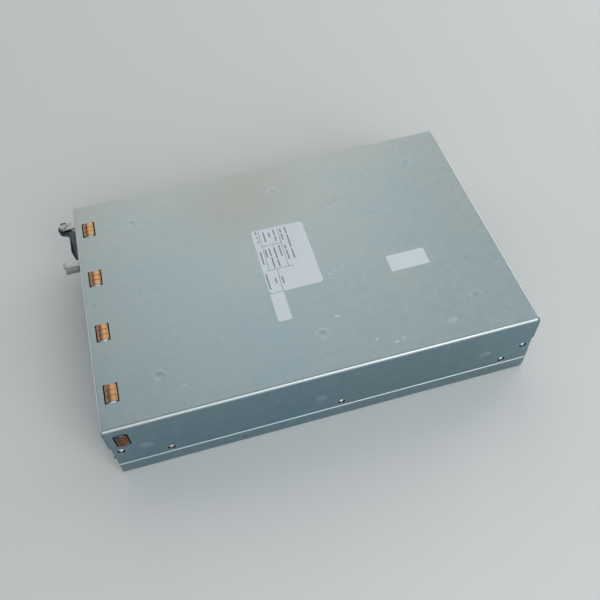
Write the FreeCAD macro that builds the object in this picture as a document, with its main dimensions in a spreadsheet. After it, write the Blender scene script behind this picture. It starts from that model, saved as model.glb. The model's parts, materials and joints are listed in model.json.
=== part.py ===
# Server power supply: a folded steel case with spring contacts, an ejector lever, two fans,
# a power inlet at one end and a plug-in output at the other.
# Millimetres. X runs from the lever end to the output end, Y across, Z up from the base.
import FreeCAD
import Part
import Sketcher
import os
import re

doc = FreeCAD.newDocument("ServerPowerSupply")
sheet = doc.addObject("Spreadsheet::Sheet", "Sizes")

SIZES = (
    ("case_length", 396, "over both end walls"),
    ("case_width", 264, "over both side walls"),
    ("case_height", 83, "base to top"),
    ("case_sheet", 1.2, "shell and tray"),
    ("bend_radius", 2.4, "outside of a fold"),
    ("nest_gap", 0.2, "between sheets that nest"),
    ("corner_relief", 0.4, "past each fold where three walls meet"),
    ("strip_height", 17, "tray wall below its step"),
    ("step_round", 1, "outside of the step"),
    ("edge_gap", 0.8, "side wall above the step"),
    ("lip_over", 6.1, "tray wall above the row screws"),
    ("fold_gap", 1, "end fold below the fans"),
    ("fold_inset", 14, "end fold short of the side walls"),
    ("fold_radius", 1.6, "outside of an end fold"),
    ("wall_setback", 0.2, "tray walls short of the end folds"),
    ("pilot_hole", 2.2, "small hole in the tray wall"),
    ("pilot_inset", 116, "from the lever end"),
    ("pilot_height", 8, "above the base"),
    ("dimple_width", 9, "marks of the posts pressed into the shell"),
    ("dimple_depth", 0.3, ""),
    ("dimple_inset", 56, "first one from the lever end"),
    ("dimple_end_inset", 44, "last one from the output end"),
    ("dimple_margin", 40, "from the case side, on the top"),
    ("side_dimple_lead", 19.4, "before each row screw"),
    ("side_dimple_rise", 15.4, "above the row screws"),
    ("screw_mouth", 7.7, "countersink of the side screws"),
    ("screw_head", 5.8, "flat screws in the side walls"),
    ("screw_head_depth", 0.5, ""),
    ("screw_sink", 0.85, "head below the wall's face"),
    ("screw_shank", 3.2, ""),
    ("screw_length", 6.5, "from the wall's face"),
    ("screw_room", 0.1, "round heads and shanks"),
    ("screw_slot", 0.9, "arms of a cross recess"),
    ("row_inset", 50, "first row screw from the lever end"),
    ("row_end_inset", 27, "last row screw from the output end"),
    ("row_lift", 6.2, "row screws above the side wall's edge"),
    ("tab_length", 18, "side tabs of the end walls"),
    ("tab_height", 18, ""),
    ("tab_gap", 1.5, "tab above the tray wall"),
    ("tab_relief", 1, "notch past each end of a tab"),
    ("tab_screw_inset", 8.5, "from the end wall's face"),
    ("nut_width", 6.4, "clinch nuts"),
    ("nut_height", 2.4, ""),
    ("clip_window_length", 12.6, "over both slots of a contact clip"),
    ("clip_window_width", 19.1, "across"),
    ("clip_bridge", 7.8, "sheet between the two slots"),
    ("clip_inset", 13.6, "middle from the lever end"),
    ("clip_margin", 35.25, "outer clips from the case sides"),
    ("side_clip_gap", 0.95, "side window above the tab"),
    ("clip_rise", 1.8, "arch above the shell"),
    ("clip_span", 10.8, "arch under the sheet"),
    ("clip_metal", 0.25, ""),
    ("clip_foot", 2.2, "under the sheet"),
    ("clip_room", 1.1, "clip to window, across"),
    ("clip_slit", 0.6, "between fingers"),
    ("rail_width", 9, "strips behind the contact windows"),
    ("rail_inset", 14, "top strip short of the side walls"),
    ("rail_over", 3.5, "side strips past their windows"),
    ("wall_lift", 0.5, "end walls above the floor"),
    ("wall_corner", 2, "lower corners of the end walls"),
    ("wall_screw_margin", 36, "outer screws from the case sides"),
    ("pan_head", 6, "pan-head screws"),
    ("pan_head_depth", 1.8, ""),
    ("pan_length", 8, ""),
    ("lever_drop", 13.7, "brackets below the case top"),
    ("ear_sheet", 1.5, "lever brackets"),
    ("ear_gap", 7, "between a bracket's ears"),
    ("ear_reach", 18, "ears from the end wall"),
    ("ear_corner", 4, "rounded ear corners"),
    ("bracket_width", 9, "pivot bracket"),
    ("bracket_edge", 6, "pivot bracket from the case side"),
    ("keeper_width", 8, "keeper bracket"),
    ("keeper_pitch", 52.5, "keeper from the pivot"),
    ("pivot_reach", 14.5, "pivot from the end wall"),
    ("pin_width", 4, "lever pin"),
    ("pin_head", 6.4, ""),
    ("pin_head_depth", 1.1, ""),
    ("pin_room", 0.05, "lever bore round the pin"),
    ("lever_gap", 2, "lever from the end wall"),
    ("lever_side", 0.5, "lever to each ear"),
    ("lever_root", 9.2, "lever face from the wall, at its root"),
    ("lever_tip", 4.5, "at its tip"),
    ("lever_boss", 5.5, "round the pin"),
    ("lever_nose", 8.5, "cam nose from the pin"),
    ("fan_size", 50, ""),
    ("fan_depth", 20, ""),
    ("fan_wall", 1.5, "frame round the bore"),
    ("fan_hole_inset", 5, "screws from the frame's edges"),
    ("fan_keeper_gap", 4, "fan to the keeper bracket"),
    ("fan_gap", 3, "between the fans"),
    ("fan_hub", 21, ""),
    ("fan_web", 3, "struts behind the rotor"),
    ("fan_room", 1.2, "rotor to its frame"),
    ("fan_shank", 4, "fan screws"),
    ("fan_screw_length", 12, ""),
    ("blade_sheet", 1.4, ""),
    ("blade_sweep", 5.5, "half of a blade's slant"),
    ("guard_wire", 1.6, ""),
    ("guard_step", 1.2, "rings in front of the cross wires"),
    ("guard_eye", 1, "thickness of the screw eyes"),
    ("guard_lift", 0.3, "eyes from the end wall"),
    ("lamp_width", 3, "status lamps"),
    ("lamp_lift", 6, "above the tray's end fold"),
    ("lamp_pitch", 12, ""),
    ("lamp_inset", 40, "from the lever side"),
    ("lamp_reach", 1, ""),
    ("lamp_length", 7, ""),
    ("inlet_inset", 35, "middle from the case side"),
    ("inlet_drop", 30, "middle below the case top"),
    ("inlet_ear", 11, "flange past the body, across"),
    ("inlet_rim", 2, "flange past the body, up and down"),
    ("inlet_flange", 3, ""),
    ("inlet_wall", 1.8, "round the socket"),
    ("inlet_depth", 21, "flange face to back"),
    ("inlet_socket_width", 24.4, ""),
    ("inlet_socket_height", 16.4, ""),
    ("inlet_socket_depth", 17, ""),
    ("inlet_corner", 4, "cut corners of the socket"),
    ("inlet_screw_gap", 6, "screws from the body"),
    ("inlet_pin_sheet", 2, ""),
    ("inlet_pin_width", 4, ""),
    ("inlet_pin_pitch", 7, ""),
    ("inlet_pin_rise", 2, "outer pins above the middle"),
    ("inlet_pin_reach", 14.5, ""),
    ("inlet_tail", 6, "pin tails behind the inlet"),
    ("cut_room", 0.3, "round bodies that pass a wall"),
    ("outlet_width", 120, "output connector"),
    ("outlet_height", 18, ""),
    ("outlet_drop", 30, "middle below the case top"),
    ("outlet_ear", 11, "flange past the body"),
    ("outlet_flange", 3, ""),
    ("outlet_reach", 8, "past the end wall"),
    ("outlet_depth", 20, "inside the end wall"),
    ("outlet_screw_gap", 5.5, "screws from the body"),
    ("contact_pitch", 11, ""),
    ("contact_sheet", 2, ""),
    ("contact_width", 9, ""),
    ("contact_reach", 4.5, "past the connector"),
    ("guide_gap", 28, "guide pins from the body"),
    ("guide_width", 6, ""),
    ("guide_reach", 14, ""),
    ("guide_tip", 2, "tapered tip"),
    ("guide_stem", 4, "riveted stem"),
    ("guide_head", 8, "riveted head"),
    ("guide_head_depth", 1.5, ""),
    ("vent_width", 4, "slots in the output end"),
    ("vent_height", 22, ""),
    ("vent_pitch", 9, ""),
    ("vent_lift", 3, "above the tray's end fold"),
    ("insulator", 0.4, "sheet under the board"),
    ("board_sheet", 1.6, ""),
    ("board_lift", 8, "from the shell"),
    ("board_side_gap", 6, ""),
    ("board_front_gap", 12, "behind the fans"),
    ("board_rear_gap", 5, "before the output connector"),
    ("board_edge", 11, "free edge of the board"),
    ("standoff_width", 6, ""),
    ("standoff_room", 1, "insulator holes"),
    ("board_shank", 2.9, "board screws"),
    ("board_screw_head", 5, ""),
    ("board_screw_length", 5, "below the board"),
    ("part_gap", 9, "between parts in a lane"),
    ("row_room", 5, "between posts and parts"),
    ("terminal_length", 11, ""),
    ("terminal_width", 30, ""),
    ("terminal_rise", 6, "past the leads"),
    ("lead_width", 3.2, "inlet leads"),
    ("fuse_length", 28, ""),
    ("fuse_width", 9, ""),
    ("fuse_height", 5, ""),
    ("filter_choke_width", 30, ""),
    ("filter_choke_height", 18, ""),
    ("choke_bore", 11, "filter and output chokes"),
    ("filter_capacitor_length", 16, ""),
    ("filter_capacitor_width", 18, ""),
    ("filter_capacitor_height", 22, ""),
    ("pfc_choke_width", 40, ""),
    ("pfc_choke_bore", 14, ""),
    ("pfc_choke_height", 25, ""),
    ("choke_round", 4, "rounded windings"),
    ("bulk_width", 35, "bulk capacitors"),
    ("bulk_height", 48, ""),
    ("bulk_round", 2, ""),
    ("sink_width", 20, "heatsinks"),
    ("sink_height", 48, ""),
    ("sink_plate", 5, ""),
    ("sink_fin", 2, ""),
    ("sink_fin_pitch", 9, ""),
    ("primary_length", 180, ""),
    ("secondary_length", 140, ""),
    ("device_length", 16, "transistors and rectifiers"),
    ("device_depth", 5, ""),
    ("device_height", 21, ""),
    ("device_lift", 14, "above the board"),
    ("device_pitch", 30, ""),
    ("device_leg", 1.2, ""),
    ("device_leg_pitch", 5.4, ""),
    ("bridge_length", 30, ""),
    ("core_length", 52, "transformer"),
    ("core_depth", 30, ""),
    ("core_height", 40, ""),
    ("core_leg", 14, "middle leg"),
    ("core_window", 12, ""),
    ("core_yoke", 7, ""),
    ("winding_wall", 8, ""),
    ("winding_room", 0.3, "winding to core"),
    ("output_choke_width", 30, ""),
    ("output_choke_height", 20, ""),
    ("output_capacitor_width", 12, ""),
    ("output_capacitor_height", 25, ""),
    ("output_capacitor_pitch", 15, ""),
    ("bar_sheet", 3, "output bars"),
    ("bar_width", 40, ""),
    ("bar_pitch", 26, "from the middle"),
    ("bar_length", 24, "on the board"),
    ("control_length", 110, ""),
    ("control_height", 40, ""),
    ("chip_length", 18, ""),
    ("chip_height", 12, ""),
    ("chip_depth", 3, ""),
    ("fan_lead_width", 3, ""),
    ("fan_lead_drop", 4, "from the fan's upper edge"),
    ("fan_lead_bend", 2.8, ""),
    ("label_sheet", 0.12, "labels"),
    ("rating_length", 52.5, ""),
    ("rating_width", 79.5, ""),
    ("rating_shift", -2.4, "from the middle, along"),
    ("rating_side", 5.2, "from the middle, across"),
    ("rating_corner", 4, ""),
    ("approval_length", 13.1, ""),
    ("approval_width", 32, ""),
    ("approval_gap", 0.8, "from the rating label"),
    ("blank_length", 38.1, ""),
    ("blank_width", 19.4, ""),
    ("blank_inset", 90.1, "middle from the output end"),
    ("blank_side", -33.1, "from the middle, across"),
    ("small_corner", 1, "smaller labels"),
)

for row, (alias, amount, note) in enumerate(SIZES, start=1):
    sheet.set(f"A{row}", alias)
    sheet.set(f"B{row}", str(amount))
    sheet.setAlias(f"B{row}", alias)
    sheet.set(f"C{row}", note)
doc.recompute()

ALIASES = {alias for alias, amount, note in SIZES}
VECTOR = FreeCAD.Vector
AXES = {"x": VECTOR(1, 0, 0), "y": VECTOR(0, 1, 0), "z": VECTOR(0, 0, 1)}
pieces = []


def formula(text):
    return re.sub(r"[a-z_]+", lambda word: "Sizes." * (word.group() in ALIASES) + word.group(), text)


def value(text):
    return float(sheet.evalExpression(text))


def place(item, point):
    for axis, text in zip("xyz", point):
        item.setExpression(f"Placement.Base.{axis}", formula(text))
    return item


def turn(item, axis, angle):
    item.Placement = FreeCAD.Placement(VECTOR(), FreeCAD.Rotation(AXES[axis], angle))
    return item


def block(spans):
    item = doc.addObject("Part::Box", "Block")
    for side, (low, high) in zip(("Length", "Width", "Height"), spans):
        item.setExpression(side, formula(f"({high}) - ({low})"))
    return place(item, [low for low, high in spans])


def middle_block(size, middle):
    return block([(f"({at}) - ({width})/2", f"({at}) + ({width})/2") for width, at in zip(size, middle)])


def rod(width, length, start, axis="z"):
    item = doc.addObject("Part::Cylinder", "Rod")
    item.setExpression("Radius", formula(f"({width})/2"))
    item.setExpression("Height", formula(length))
    item.Placement.Rotation = FreeCAD.Rotation(AXES["z"], AXES[axis])
    return place(item, start)


def cone(first, last, length, start, direction):
    item = doc.addObject("Part::Cone", "Cone")
    item.setExpression("Radius1", formula(f"({first})/2"))
    item.setExpression("Radius2", formula(f"({last})/2"))
    item.setExpression("Height", formula(length))
    item.Placement.Rotation = FreeCAD.Rotation(AXES["z"], VECTOR(*direction))
    return place(item, start)


def join(items):
    item = doc.addObject("Part::MultiFuse", "Join")
    item.Shapes = items
    return item


def group(items):
    item = doc.addObject("Part::Compound", "Group")
    item.Links = items
    return item


def cut(base, tools):
    item = doc.addObject("Part::Cut", "Cut")
    item.Base = base
    item.Tool = tools[0] if len(tools) == 1 else join(tools)
    return item


def keep(label, item):
    item.Label = label
    pieces.append(item)
    return item


def hang(label, item):
    # The inside is made standing on the bench, then turned over into the shell.
    turned = turn(group([item]), "x", 180)
    return keep(label, place(turned, ("0", "0", "case_height")))


def outline(body, role, points, offset="0"):
    sketch = body.newObject("Sketcher::SketchObject", "Outline")
    plane = next(part for part in body.Origin.OriginFeatures if part.Role == role)
    sketch.AttachmentSupport = [(plane, "")]
    sketch.MapMode = "FlatFace"
    sketch.setExpression("AttachmentOffset.Base.z", formula(offset))
    corners = [VECTOR(value(across), value(up), 0) for across, up in points]
    following = corners[1:] + corners[:1]
    for first, last in zip(corners, following):
        sketch.addGeometry(Part.LineSegment(first, last))
    for side, (across, up) in enumerate(points):
        before = side - 1 if side else len(points) - 1
        sketch.addConstraint(Sketcher.Constraint("Coincident", before, 2, side, 1))
        for kind, text, axis in (("DistanceX", across, -2), ("DistanceY", up, -1)):
            if text == "0":
                sketch.addConstraint(Sketcher.Constraint("PointOnObject", side, 1, axis))
                continue
            rule = sketch.addConstraint(Sketcher.Constraint(kind, -1, 1, side, 1, value(text)))
            sketch.setExpression(f"Constraints[{rule}]", formula(text))
    return sketch


def circle(body, role, width, offset="0"):
    sketch = body.newObject("Sketcher::SketchObject", "Circle")
    plane = next(part for part in body.Origin.OriginFeatures if part.Role == role)
    sketch.AttachmentSupport = [(plane, "")]
    sketch.MapMode = "FlatFace"
    sketch.setExpression("AttachmentOffset.Base.z", formula(offset))
    sketch.addGeometry(Part.Circle(VECTOR(), AXES["z"], value(width) / 2))
    sketch.addConstraint(Sketcher.Constraint("Coincident", 0, 3, -1, 1))
    rule = sketch.addConstraint(Sketcher.Constraint("Diameter", 0, value(width)))
    sketch.setExpression(f"Constraints[{rule}]", formula(width))
    return sketch


def pad(body, sketch, length, both_ways=False):
    item = body.newObject("PartDesign::Pad", "Pad")
    item.Profile = sketch
    item.Midplane = both_ways
    item.setExpression("Length", formula(length))
    body.Tip = item
    doc.recompute()
    return item


def round_edges(body, radius, places):
    # Rounds each edge whose ends both lie at one of the places, given by axis.
    found = []
    solid = body.Tip
    for count, edge in enumerate(solid.Shape.Edges, start=1):
        ends = [vertex.Point for vertex in edge.Vertexes]
        for where in places:
            misses = [abs(getattr(end, axis) - value(text)) for end in ends for axis, text in where.items()]
            if max(misses) < 0.001:
                found.append(f"Edge{count}")
    item = body.newObject("PartDesign::Fillet", "Round")
    item.Base = (solid, found)
    item.setExpression("Radius", formula(radius))
    body.Tip = item
    doc.recompute()
    return item


def new_body(name):
    return doc.addObject("PartDesign::Body", name)


HALF_LENGTH = "case_length/2"
HALF_WIDTH = "case_width/2"
WALL_FACE = f"-{HALF_LENGTH}"
WALL_BACK = f"-{HALF_LENGTH} + case_sheet"
TRAY_STEP = "(case_sheet + nest_gap)"
TRAY_OUTSIDE = f"{HALF_WIDTH} - {TRAY_STEP}"
TRAY_INSIDE = f"{HALF_WIDTH} - {TRAY_STEP} - case_sheet"
TRAY_END = f"({HALF_LENGTH} - {TRAY_STEP})"
TAB_OUTSIDE = TRAY_OUTSIDE
SIDE_EDGE = f"strip_height + {TRAY_STEP} + edge_gap"
FOLD_TOP = "case_height - bend_radius - corner_relief"
FOLD_SIDE = f"{HALF_WIDTH} - bend_radius - corner_relief"
FOLD_END = f"({HALF_LENGTH} - bend_radius - corner_relief)"
FAN_MIDDLE = "case_height/2"
END_FOLD = f"{FAN_MIDDLE} - fan_size/2 - fold_gap"
WALL_SCREW_HEIGHT = f"({END_FOLD} + case_sheet)/2"
SCREW_HOLE = "screw_shank + 2*screw_room"
ROW_HEIGHT = f"({SIDE_EDGE} + row_lift)"
LIP_TOP = f"({ROW_HEIGHT} + lip_over)"
TAB_MIDDLE = f"({LIP_TOP} + tab_gap + tab_height/2)"
SIDE_CLIP = f"({TAB_MIDDLE} + tab_height/2 + side_clip_gap + clip_window_width/2)"
ROW_PITCH = "(case_length - row_inset - row_end_inset)/2"
ROW_SCREWS = [f"-{HALF_LENGTH} + row_inset + {k}*{ROW_PITCH}" for k in range(3)]
TAB_SCREWS = [f"-{HALF_LENGTH} + tab_screw_inset", f"{HALF_LENGTH} - tab_screw_inset"]
WALL_SCREWS = [f"{side}*({HALF_WIDTH} - wall_screw_margin)" for side in (-1, 0, 1)]
POST_PITCH = "(case_length - dimple_inset - dimple_end_inset)/2"
POSTS = [f"-{HALF_LENGTH} + dimple_inset + {k}*{POST_PITCH}" for k in range(3)]
POST_ROW = f"({HALF_WIDTH} - dimple_margin)"
CLIP_ALONG = f"-{HALF_LENGTH} + clip_inset"
SIDES = (-1, 1)
ENDS = (-1, 1)


def folded_tray():
    body = new_body("TrayFold")
    slope = "case_sheet*tan(22.5 deg)"
    right = [
        (HALF_WIDTH, "0"),
        (HALF_WIDTH, "strip_height"),
        (TRAY_OUTSIDE, f"strip_height + {TRAY_STEP}"),
        (TRAY_OUTSIDE, LIP_TOP),
        (TRAY_INSIDE, LIP_TOP),
        (TRAY_INSIDE, f"strip_height + {TRAY_STEP} - {slope}"),
        (f"{HALF_WIDTH} - case_sheet", f"strip_height - {slope}"),
        (f"{HALF_WIDTH} - case_sheet", "case_sheet"),
    ]
    left = [(f"-({across})", up) for across, up in reversed(right)]
    wall_end = f"({TRAY_END} - fold_radius - wall_setback)"
    pad(body, outline(body, "YZ_Plane", right + left), f"2*{wall_end}", True)
    wall_foot = "bend_radius + corner_relief"
    wall = [(HALF_WIDTH, wall_foot)] + right[1:-1] + [(f"{HALF_WIDTH} - case_sheet", wall_foot)]
    for side in SIDES:
        points = [(f"{side}*({across})", up) for across, up in wall]
        pad(body, outline(body, "YZ_Plane", points), f"2*{TRAY_END}", True)
    for end in ENDS:
        tip = f"{end}*{TRAY_END}"
        root = f"{end}*({wall_end} - bend_radius)"
        inner = f"{end}*({TRAY_END} - case_sheet)"
        fold = [
            (tip, "0"),
            (tip, END_FOLD),
            (inner, END_FOLD),
            (inner, "case_sheet"),
            (root, "case_sheet"),
            (root, "0"),
        ]
        pad(body, outline(body, "XZ_Plane", fold), "case_width - 2*fold_inset", True)
    round_edges(body, "bend_radius", [{"y": f"{side}*{HALF_WIDTH}", "z": "0"} for side in SIDES])
    round_edges(body, "fold_radius", [{"x": f"{end}*{TRAY_END}", "z": "0"} for end in ENDS])
    round_edges(body, "step_round", [{"y": f"{side}*{HALF_WIDTH}", "z": "strip_height"} for side in SIDES])
    inner_bends = [{"y": f"{side}*({HALF_WIDTH} - case_sheet)", "z": "case_sheet"} for side in SIDES]
    round_edges(body, "bend_radius - case_sheet", inner_bends)
    return body


def tray():
    holes = []
    for at in ROW_SCREWS:
        holes.append(rod(SCREW_HOLE, "case_width", (at, f"-{HALF_WIDTH}", ROW_HEIGHT), "y"))
    for across in WALL_SCREWS:
        holes.append(rod(SCREW_HOLE, "case_length", (WALL_FACE, across, WALL_SCREW_HEIGHT), "x"))
    pilot = (f"-{HALF_LENGTH} + pilot_inset", f"-{HALF_WIDTH} - case_sheet/2", "pilot_height")
    holes.append(rod("pilot_hole", "2*case_sheet", pilot, "y"))
    keep("base_tray", cut(folded_tray(), holes))


def dimple(point, direction):
    radius = "((dimple_width/2)^2 + dimple_depth^2)/(2*dimple_depth)"
    item = doc.addObject("Part::Sphere", "Dimple")
    item.setExpression("Radius", formula(radius))
    lift = [f"{at} + ({step})*({radius} - dimple_depth)" for at, step in zip(point, direction)]
    return place(item, lift)


def clip_places():
    pitch = "(case_width - 2*clip_margin)/3"
    return [(CLIP_ALONG, f"{k - 1.5}*{pitch}", "case_height") for k in range(4)]


def end_wall(body, end):
    # One end of the shell, folded down from its top, with a tab folded back from each side edge.
    face = f"{end}*{HALF_LENGTH}"
    back = f"{end}*({HALF_LENGTH} - case_sheet)"
    edge = f"({TAB_OUTSIDE} - bend_radius)"
    low = f"{TAB_MIDDLE} - tab_height/2"
    high = f"{TAB_MIDDLE} + tab_height/2"
    right = [
        (HALF_WIDTH, "wall_lift"),
        (HALF_WIDTH, f"{low} - tab_relief"),
        (edge, f"{low} - tab_relief"),
        (edge, f"{high} + tab_relief"),
        (HALF_WIDTH, f"{high} + tab_relief"),
        (HALF_WIDTH, FOLD_TOP),
        (FOLD_SIDE, FOLD_TOP),
        (FOLD_SIDE, "case_height"),
    ]
    left = [(f"-({across})", up) for across, up in reversed(right)]
    start = WALL_FACE if end < 0 else f"{HALF_LENGTH} - case_sheet"
    pad(body, outline(body, "YZ_Plane", right + left, start), "case_sheet")
    tip = f"{end}*({HALF_LENGTH} - tab_length)"
    for side in SIDES:
        root = f"{side}*({edge} - bend_radius)"
        outer = f"{side}*({TAB_OUTSIDE})"
        inner = f"{side}*({TAB_OUTSIDE} - case_sheet)"
        tab = [(face, root), (face, outer), (tip, outer), (tip, inner), (back, inner), (back, root)]
        pad(body, outline(body, "XY_Plane", tab, low), "tab_height")


def folded_shell():
    body = new_body("ShellFold")
    right = [
        (f"{HALF_WIDTH} - case_sheet", SIDE_EDGE),
        (HALF_WIDTH, SIDE_EDGE),
        (HALF_WIDTH, "case_height"),
    ]
    left = [(f"-({across})", up) for across, up in reversed(right)]
    inside = [(f"{side}*({HALF_WIDTH} - case_sheet)", "case_height - case_sheet") for side in SIDES]
    pad(body, outline(body, "YZ_Plane", right + left + inside), f"2*{FOLD_END}", True)
    for side in SIDES:
        strip = [
            (f"{side}*({HALF_WIDTH} - case_sheet)", SIDE_EDGE),
            (f"{side}*{HALF_WIDTH}", SIDE_EDGE),
            (f"{side}*{HALF_WIDTH}", FOLD_TOP),
            (f"{side}*({HALF_WIDTH} - case_sheet)", FOLD_TOP),
        ]
        pad(body, outline(body, "YZ_Plane", strip), f"2*{TRAY_END}", True)
    top = [
        (f"-({FOLD_SIDE})", "case_height - case_sheet"),
        (FOLD_SIDE, "case_height - case_sheet"),
        (FOLD_SIDE, "case_height"),
        (f"-({FOLD_SIDE})", "case_height"),
    ]
    pad(body, outline(body, "YZ_Plane", top), "case_length", True)
    for end in ENDS:
        end_wall(body, end)
    outer = [{"y": f"{side}*{HALF_WIDTH}", "z": "case_height"} for side in SIDES]
    outer += [{"x": f"{end}*{HALF_LENGTH}", "z": "case_height"} for end in ENDS]
    outer += [{"x": f"{end}*{HALF_LENGTH}", "y": f"{side}*({TAB_OUTSIDE})"} for end in ENDS for side in SIDES]
    round_edges(body, "bend_radius", outer)
    inner = [{"y": f"{side}*({HALF_WIDTH} - case_sheet)", "z": "case_height - case_sheet"} for side in SIDES]
    inner += [{"x": f"{end}*({HALF_LENGTH} - case_sheet)", "z": "case_height - case_sheet"} for end in ENDS]
    round_edges(body, "bend_radius - case_sheet", inner)
    round_edges(body, "wall_corner", [{"y": f"{side}*{HALF_WIDTH}", "z": "wall_lift"} for side in SIDES])
    return body


def shell():
    slot = "(clip_window_length - clip_bridge)/2"
    windows = []
    for end in ENDS:
        shift = f"{end}*(clip_bridge + {slot})/2"
        size = (slot, "clip_window_width", "4*case_sheet")
        for along, across, up in clip_places():
            windows.append(middle_block(size, (f"{along} + {shift}", across, up)))
        size = (slot, "2*case_width", "clip_window_width")
        windows.append(middle_block(size, (f"{CLIP_ALONG} + {shift}", "0", SIDE_CLIP)))
    holes = []
    marks = []
    throat = "screw_mouth - 2.6*case_sheet"
    for side in SIDES:
        face = f"{side}*{HALF_WIDTH}"
        spots = [(at, ROW_HEIGHT) for at in ROW_SCREWS] + [(at, TAB_MIDDLE) for at in TAB_SCREWS]
        for at, up in spots:
            holes.append(cone("screw_mouth", throat, "1.3*case_sheet", (at, face, up), (0, -side, 0)))
        for at in ROW_SCREWS:
            spot = (f"{at} - side_dimple_lead", face, f"{ROW_HEIGHT} + side_dimple_rise")
            marks.append(dimple(spot, ("0", str(side), "0")))
        for at in POSTS:
            marks.append(dimple((at, f"{side}*{POST_ROW}", "case_height"), ("0", "0", "1")))
    inside = f"{HALF_WIDTH} - 1.2*case_sheet"
    for at in TAB_SCREWS:
        holes.append(rod(SCREW_HOLE, f"2*({inside})", (at, f"-({inside})", TAB_MIDDLE), "y"))
    for end in ENDS:
        for across in WALL_SCREWS:
            holes.append(middle_rod(SCREW_HOLE, (f"{end}*{HALF_LENGTH}", across, WALL_SCREW_HEIGHT)))
    tools = windows + holes + lever_end_openings() + output_end_openings()
    keep("case_shell", cut(cut(folded_shell(), tools), [group(marks)]))


def contact_rails():
    top = middle_block(("rail_width", "case_width - 2*rail_inset", "case_sheet"),
                       (CLIP_ALONG, "0", "case_height - 1.5*case_sheet"))
    rails = [top]
    for side in SIDES:
        low = f"{SIDE_CLIP} - clip_window_width/2"
        high = f"{SIDE_CLIP} + clip_window_width/2 + rail_over"
        far = f"{HALF_WIDTH} - case_sheet"
        near = f"{HALF_WIDTH} - 2*case_sheet"
        span = (near, far) if side > 0 else (f"-({far})", f"-({near})")
        along = (f"{CLIP_ALONG} - rail_width/2", f"{CLIP_ALONG} + rail_width/2")
        rails.append(block([along, span, (low, high)]))
    keep("contact_rails", group(rails))


def flat_screw(at, up, side):
    face = f"{side}*({HALF_WIDTH} - screw_sink)"
    length = "screw_length - screw_sink - screw_head_depth"
    under = f"{side}*({HALF_WIDTH} - screw_sink - screw_head_depth)"
    neck = "screw_head - 2*screw_head_depth"
    head = cone("screw_head", neck, "screw_head_depth", (at, face, up), (0, -side, 0))
    start = under if side < 0 else f"{under} - ({length})"
    shank = rod("screw_shank", length, (at, start, up), "y")
    arms = [
        middle_block(("screw_head*0.55", "screw_head_depth", "screw_slot"), (at, face, up)),
        middle_block(("screw_slot", "screw_head_depth", "screw_head*0.55"), (at, face, up)),
    ]
    return cut(join([head, shank]), arms)


def clinch_nut(at, up, side, seat):
    start = f"{side}*({seat})" if side < 0 else f"({seat}) - nut_height"
    outer = rod("nut_width", "nut_height", (at, start, up), "y")
    bore = rod("screw_shank + screw_room", "3*nut_height", (at, f"{start} - nut_height", up), "y")
    return cut(outer, [bore])


def side_fasteners():
    screws = []
    nuts = []
    for side in SIDES:
        for at in ROW_SCREWS:
            screws.append(flat_screw(at, ROW_HEIGHT, side))
            nuts.append(clinch_nut(at, ROW_HEIGHT, side, TRAY_INSIDE))
        for at in TAB_SCREWS:
            screws.append(flat_screw(at, TAB_MIDDLE, side))
            nuts.append(clinch_nut(at, TAB_MIDDLE, side, f"{TAB_OUTSIDE} - case_sheet"))
    keep("side_screws", group(screws))
    keep("clinch_nuts", group(nuts))


def pan_screw(at, across, up, direction, shank="screw_shank", length="pan_length", head="pan_head"):
    # A pan-head screw whose head sits on the face at this point and whose shank runs inwards along X.
    head_start = f"{at} - pan_head_depth" if direction > 0 else at
    shank_start = at if direction > 0 else f"{at} - ({length})"
    top = rod(head, "pan_head_depth", (head_start, across, up), "x")
    shank = rod(shank, length, (shank_start, across, up), "x")
    outside = f"{at} - ({direction})*pan_head_depth"
    arms = [
        middle_block(("pan_head_depth", f"{head}*0.55", "screw_slot"), (outside, across, up)),
        middle_block(("pan_head_depth", "screw_slot", f"{head}*0.55"), (outside, across, up)),
    ]
    return cut(join([top, shank]), arms)


def middle_rod(width, middle):
    # A drill through an end wall, along X.
    along, across, up = middle
    return rod(width, "10*case_sheet", (f"{along} - 5*case_sheet", across, up), "x")


EAR_TOP = "case_height - lever_drop"
EAR_UNDER = f"{EAR_TOP} - 2*ear_sheet - ear_gap"
BRACKET_MIDDLE = f"{HALF_WIDTH} - bracket_edge - bracket_width/2"
PIVOT_ALONG = f"-{HALF_LENGTH} - pivot_reach"
KEEPER_MIDDLE = f"{BRACKET_MIDDLE} - keeper_pitch"
FAN_BORE = "(fan_size - 2*fan_wall)"
FAN_HOLE = "(fan_size/2 - fan_hole_inset)"
FAN_SIDE = f"{KEEPER_MIDDLE} - keeper_width/2 - fan_keeper_gap"
FAN_PLACES = [f"{FAN_SIDE} - fan_size/2 - {k}*(fan_size + fan_gap)" for k in (1, 0)]
FAN_CORNERS = [(f"{a}*{FAN_HOLE}", f"{b}*{FAN_HOLE}") for a in SIDES for b in SIDES]
FAN_HEAD = "pan_head*1.1"
GUARD_SEAT = f"{WALL_FACE} - guard_lift - guard_eye"
INLET_ACROSS = f"(inlet_inset - {HALF_WIDTH})"
INLET_HEIGHT = "(case_height - inlet_drop)"
INLET_BODY = ("(inlet_socket_width + 2*inlet_wall)", "(inlet_socket_height + 2*inlet_wall)")
INLET_SCREWS = [f"{INLET_ACROSS} + {side}*({INLET_BODY[0]}/2 + inlet_screw_gap)" for side in SIDES]
LAMP_ACROSS = f"{HALF_WIDTH} - lamp_inset"
LAMP_HEIGHTS = [f"{END_FOLD} + lamp_lift + {k}*lamp_pitch" for k in range(2)]
OUTLET_HEIGHT = "(case_height - outlet_drop)"
OUTLET_SCREWS = [f"{side}*(outlet_width/2 + outlet_screw_gap)" for side in SIDES]
OUTLET_BACK = f"{HALF_LENGTH} - case_sheet - outlet_depth"
GUIDES = [f"{side}*(outlet_width/2 + guide_gap)" for side in SIDES]


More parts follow.
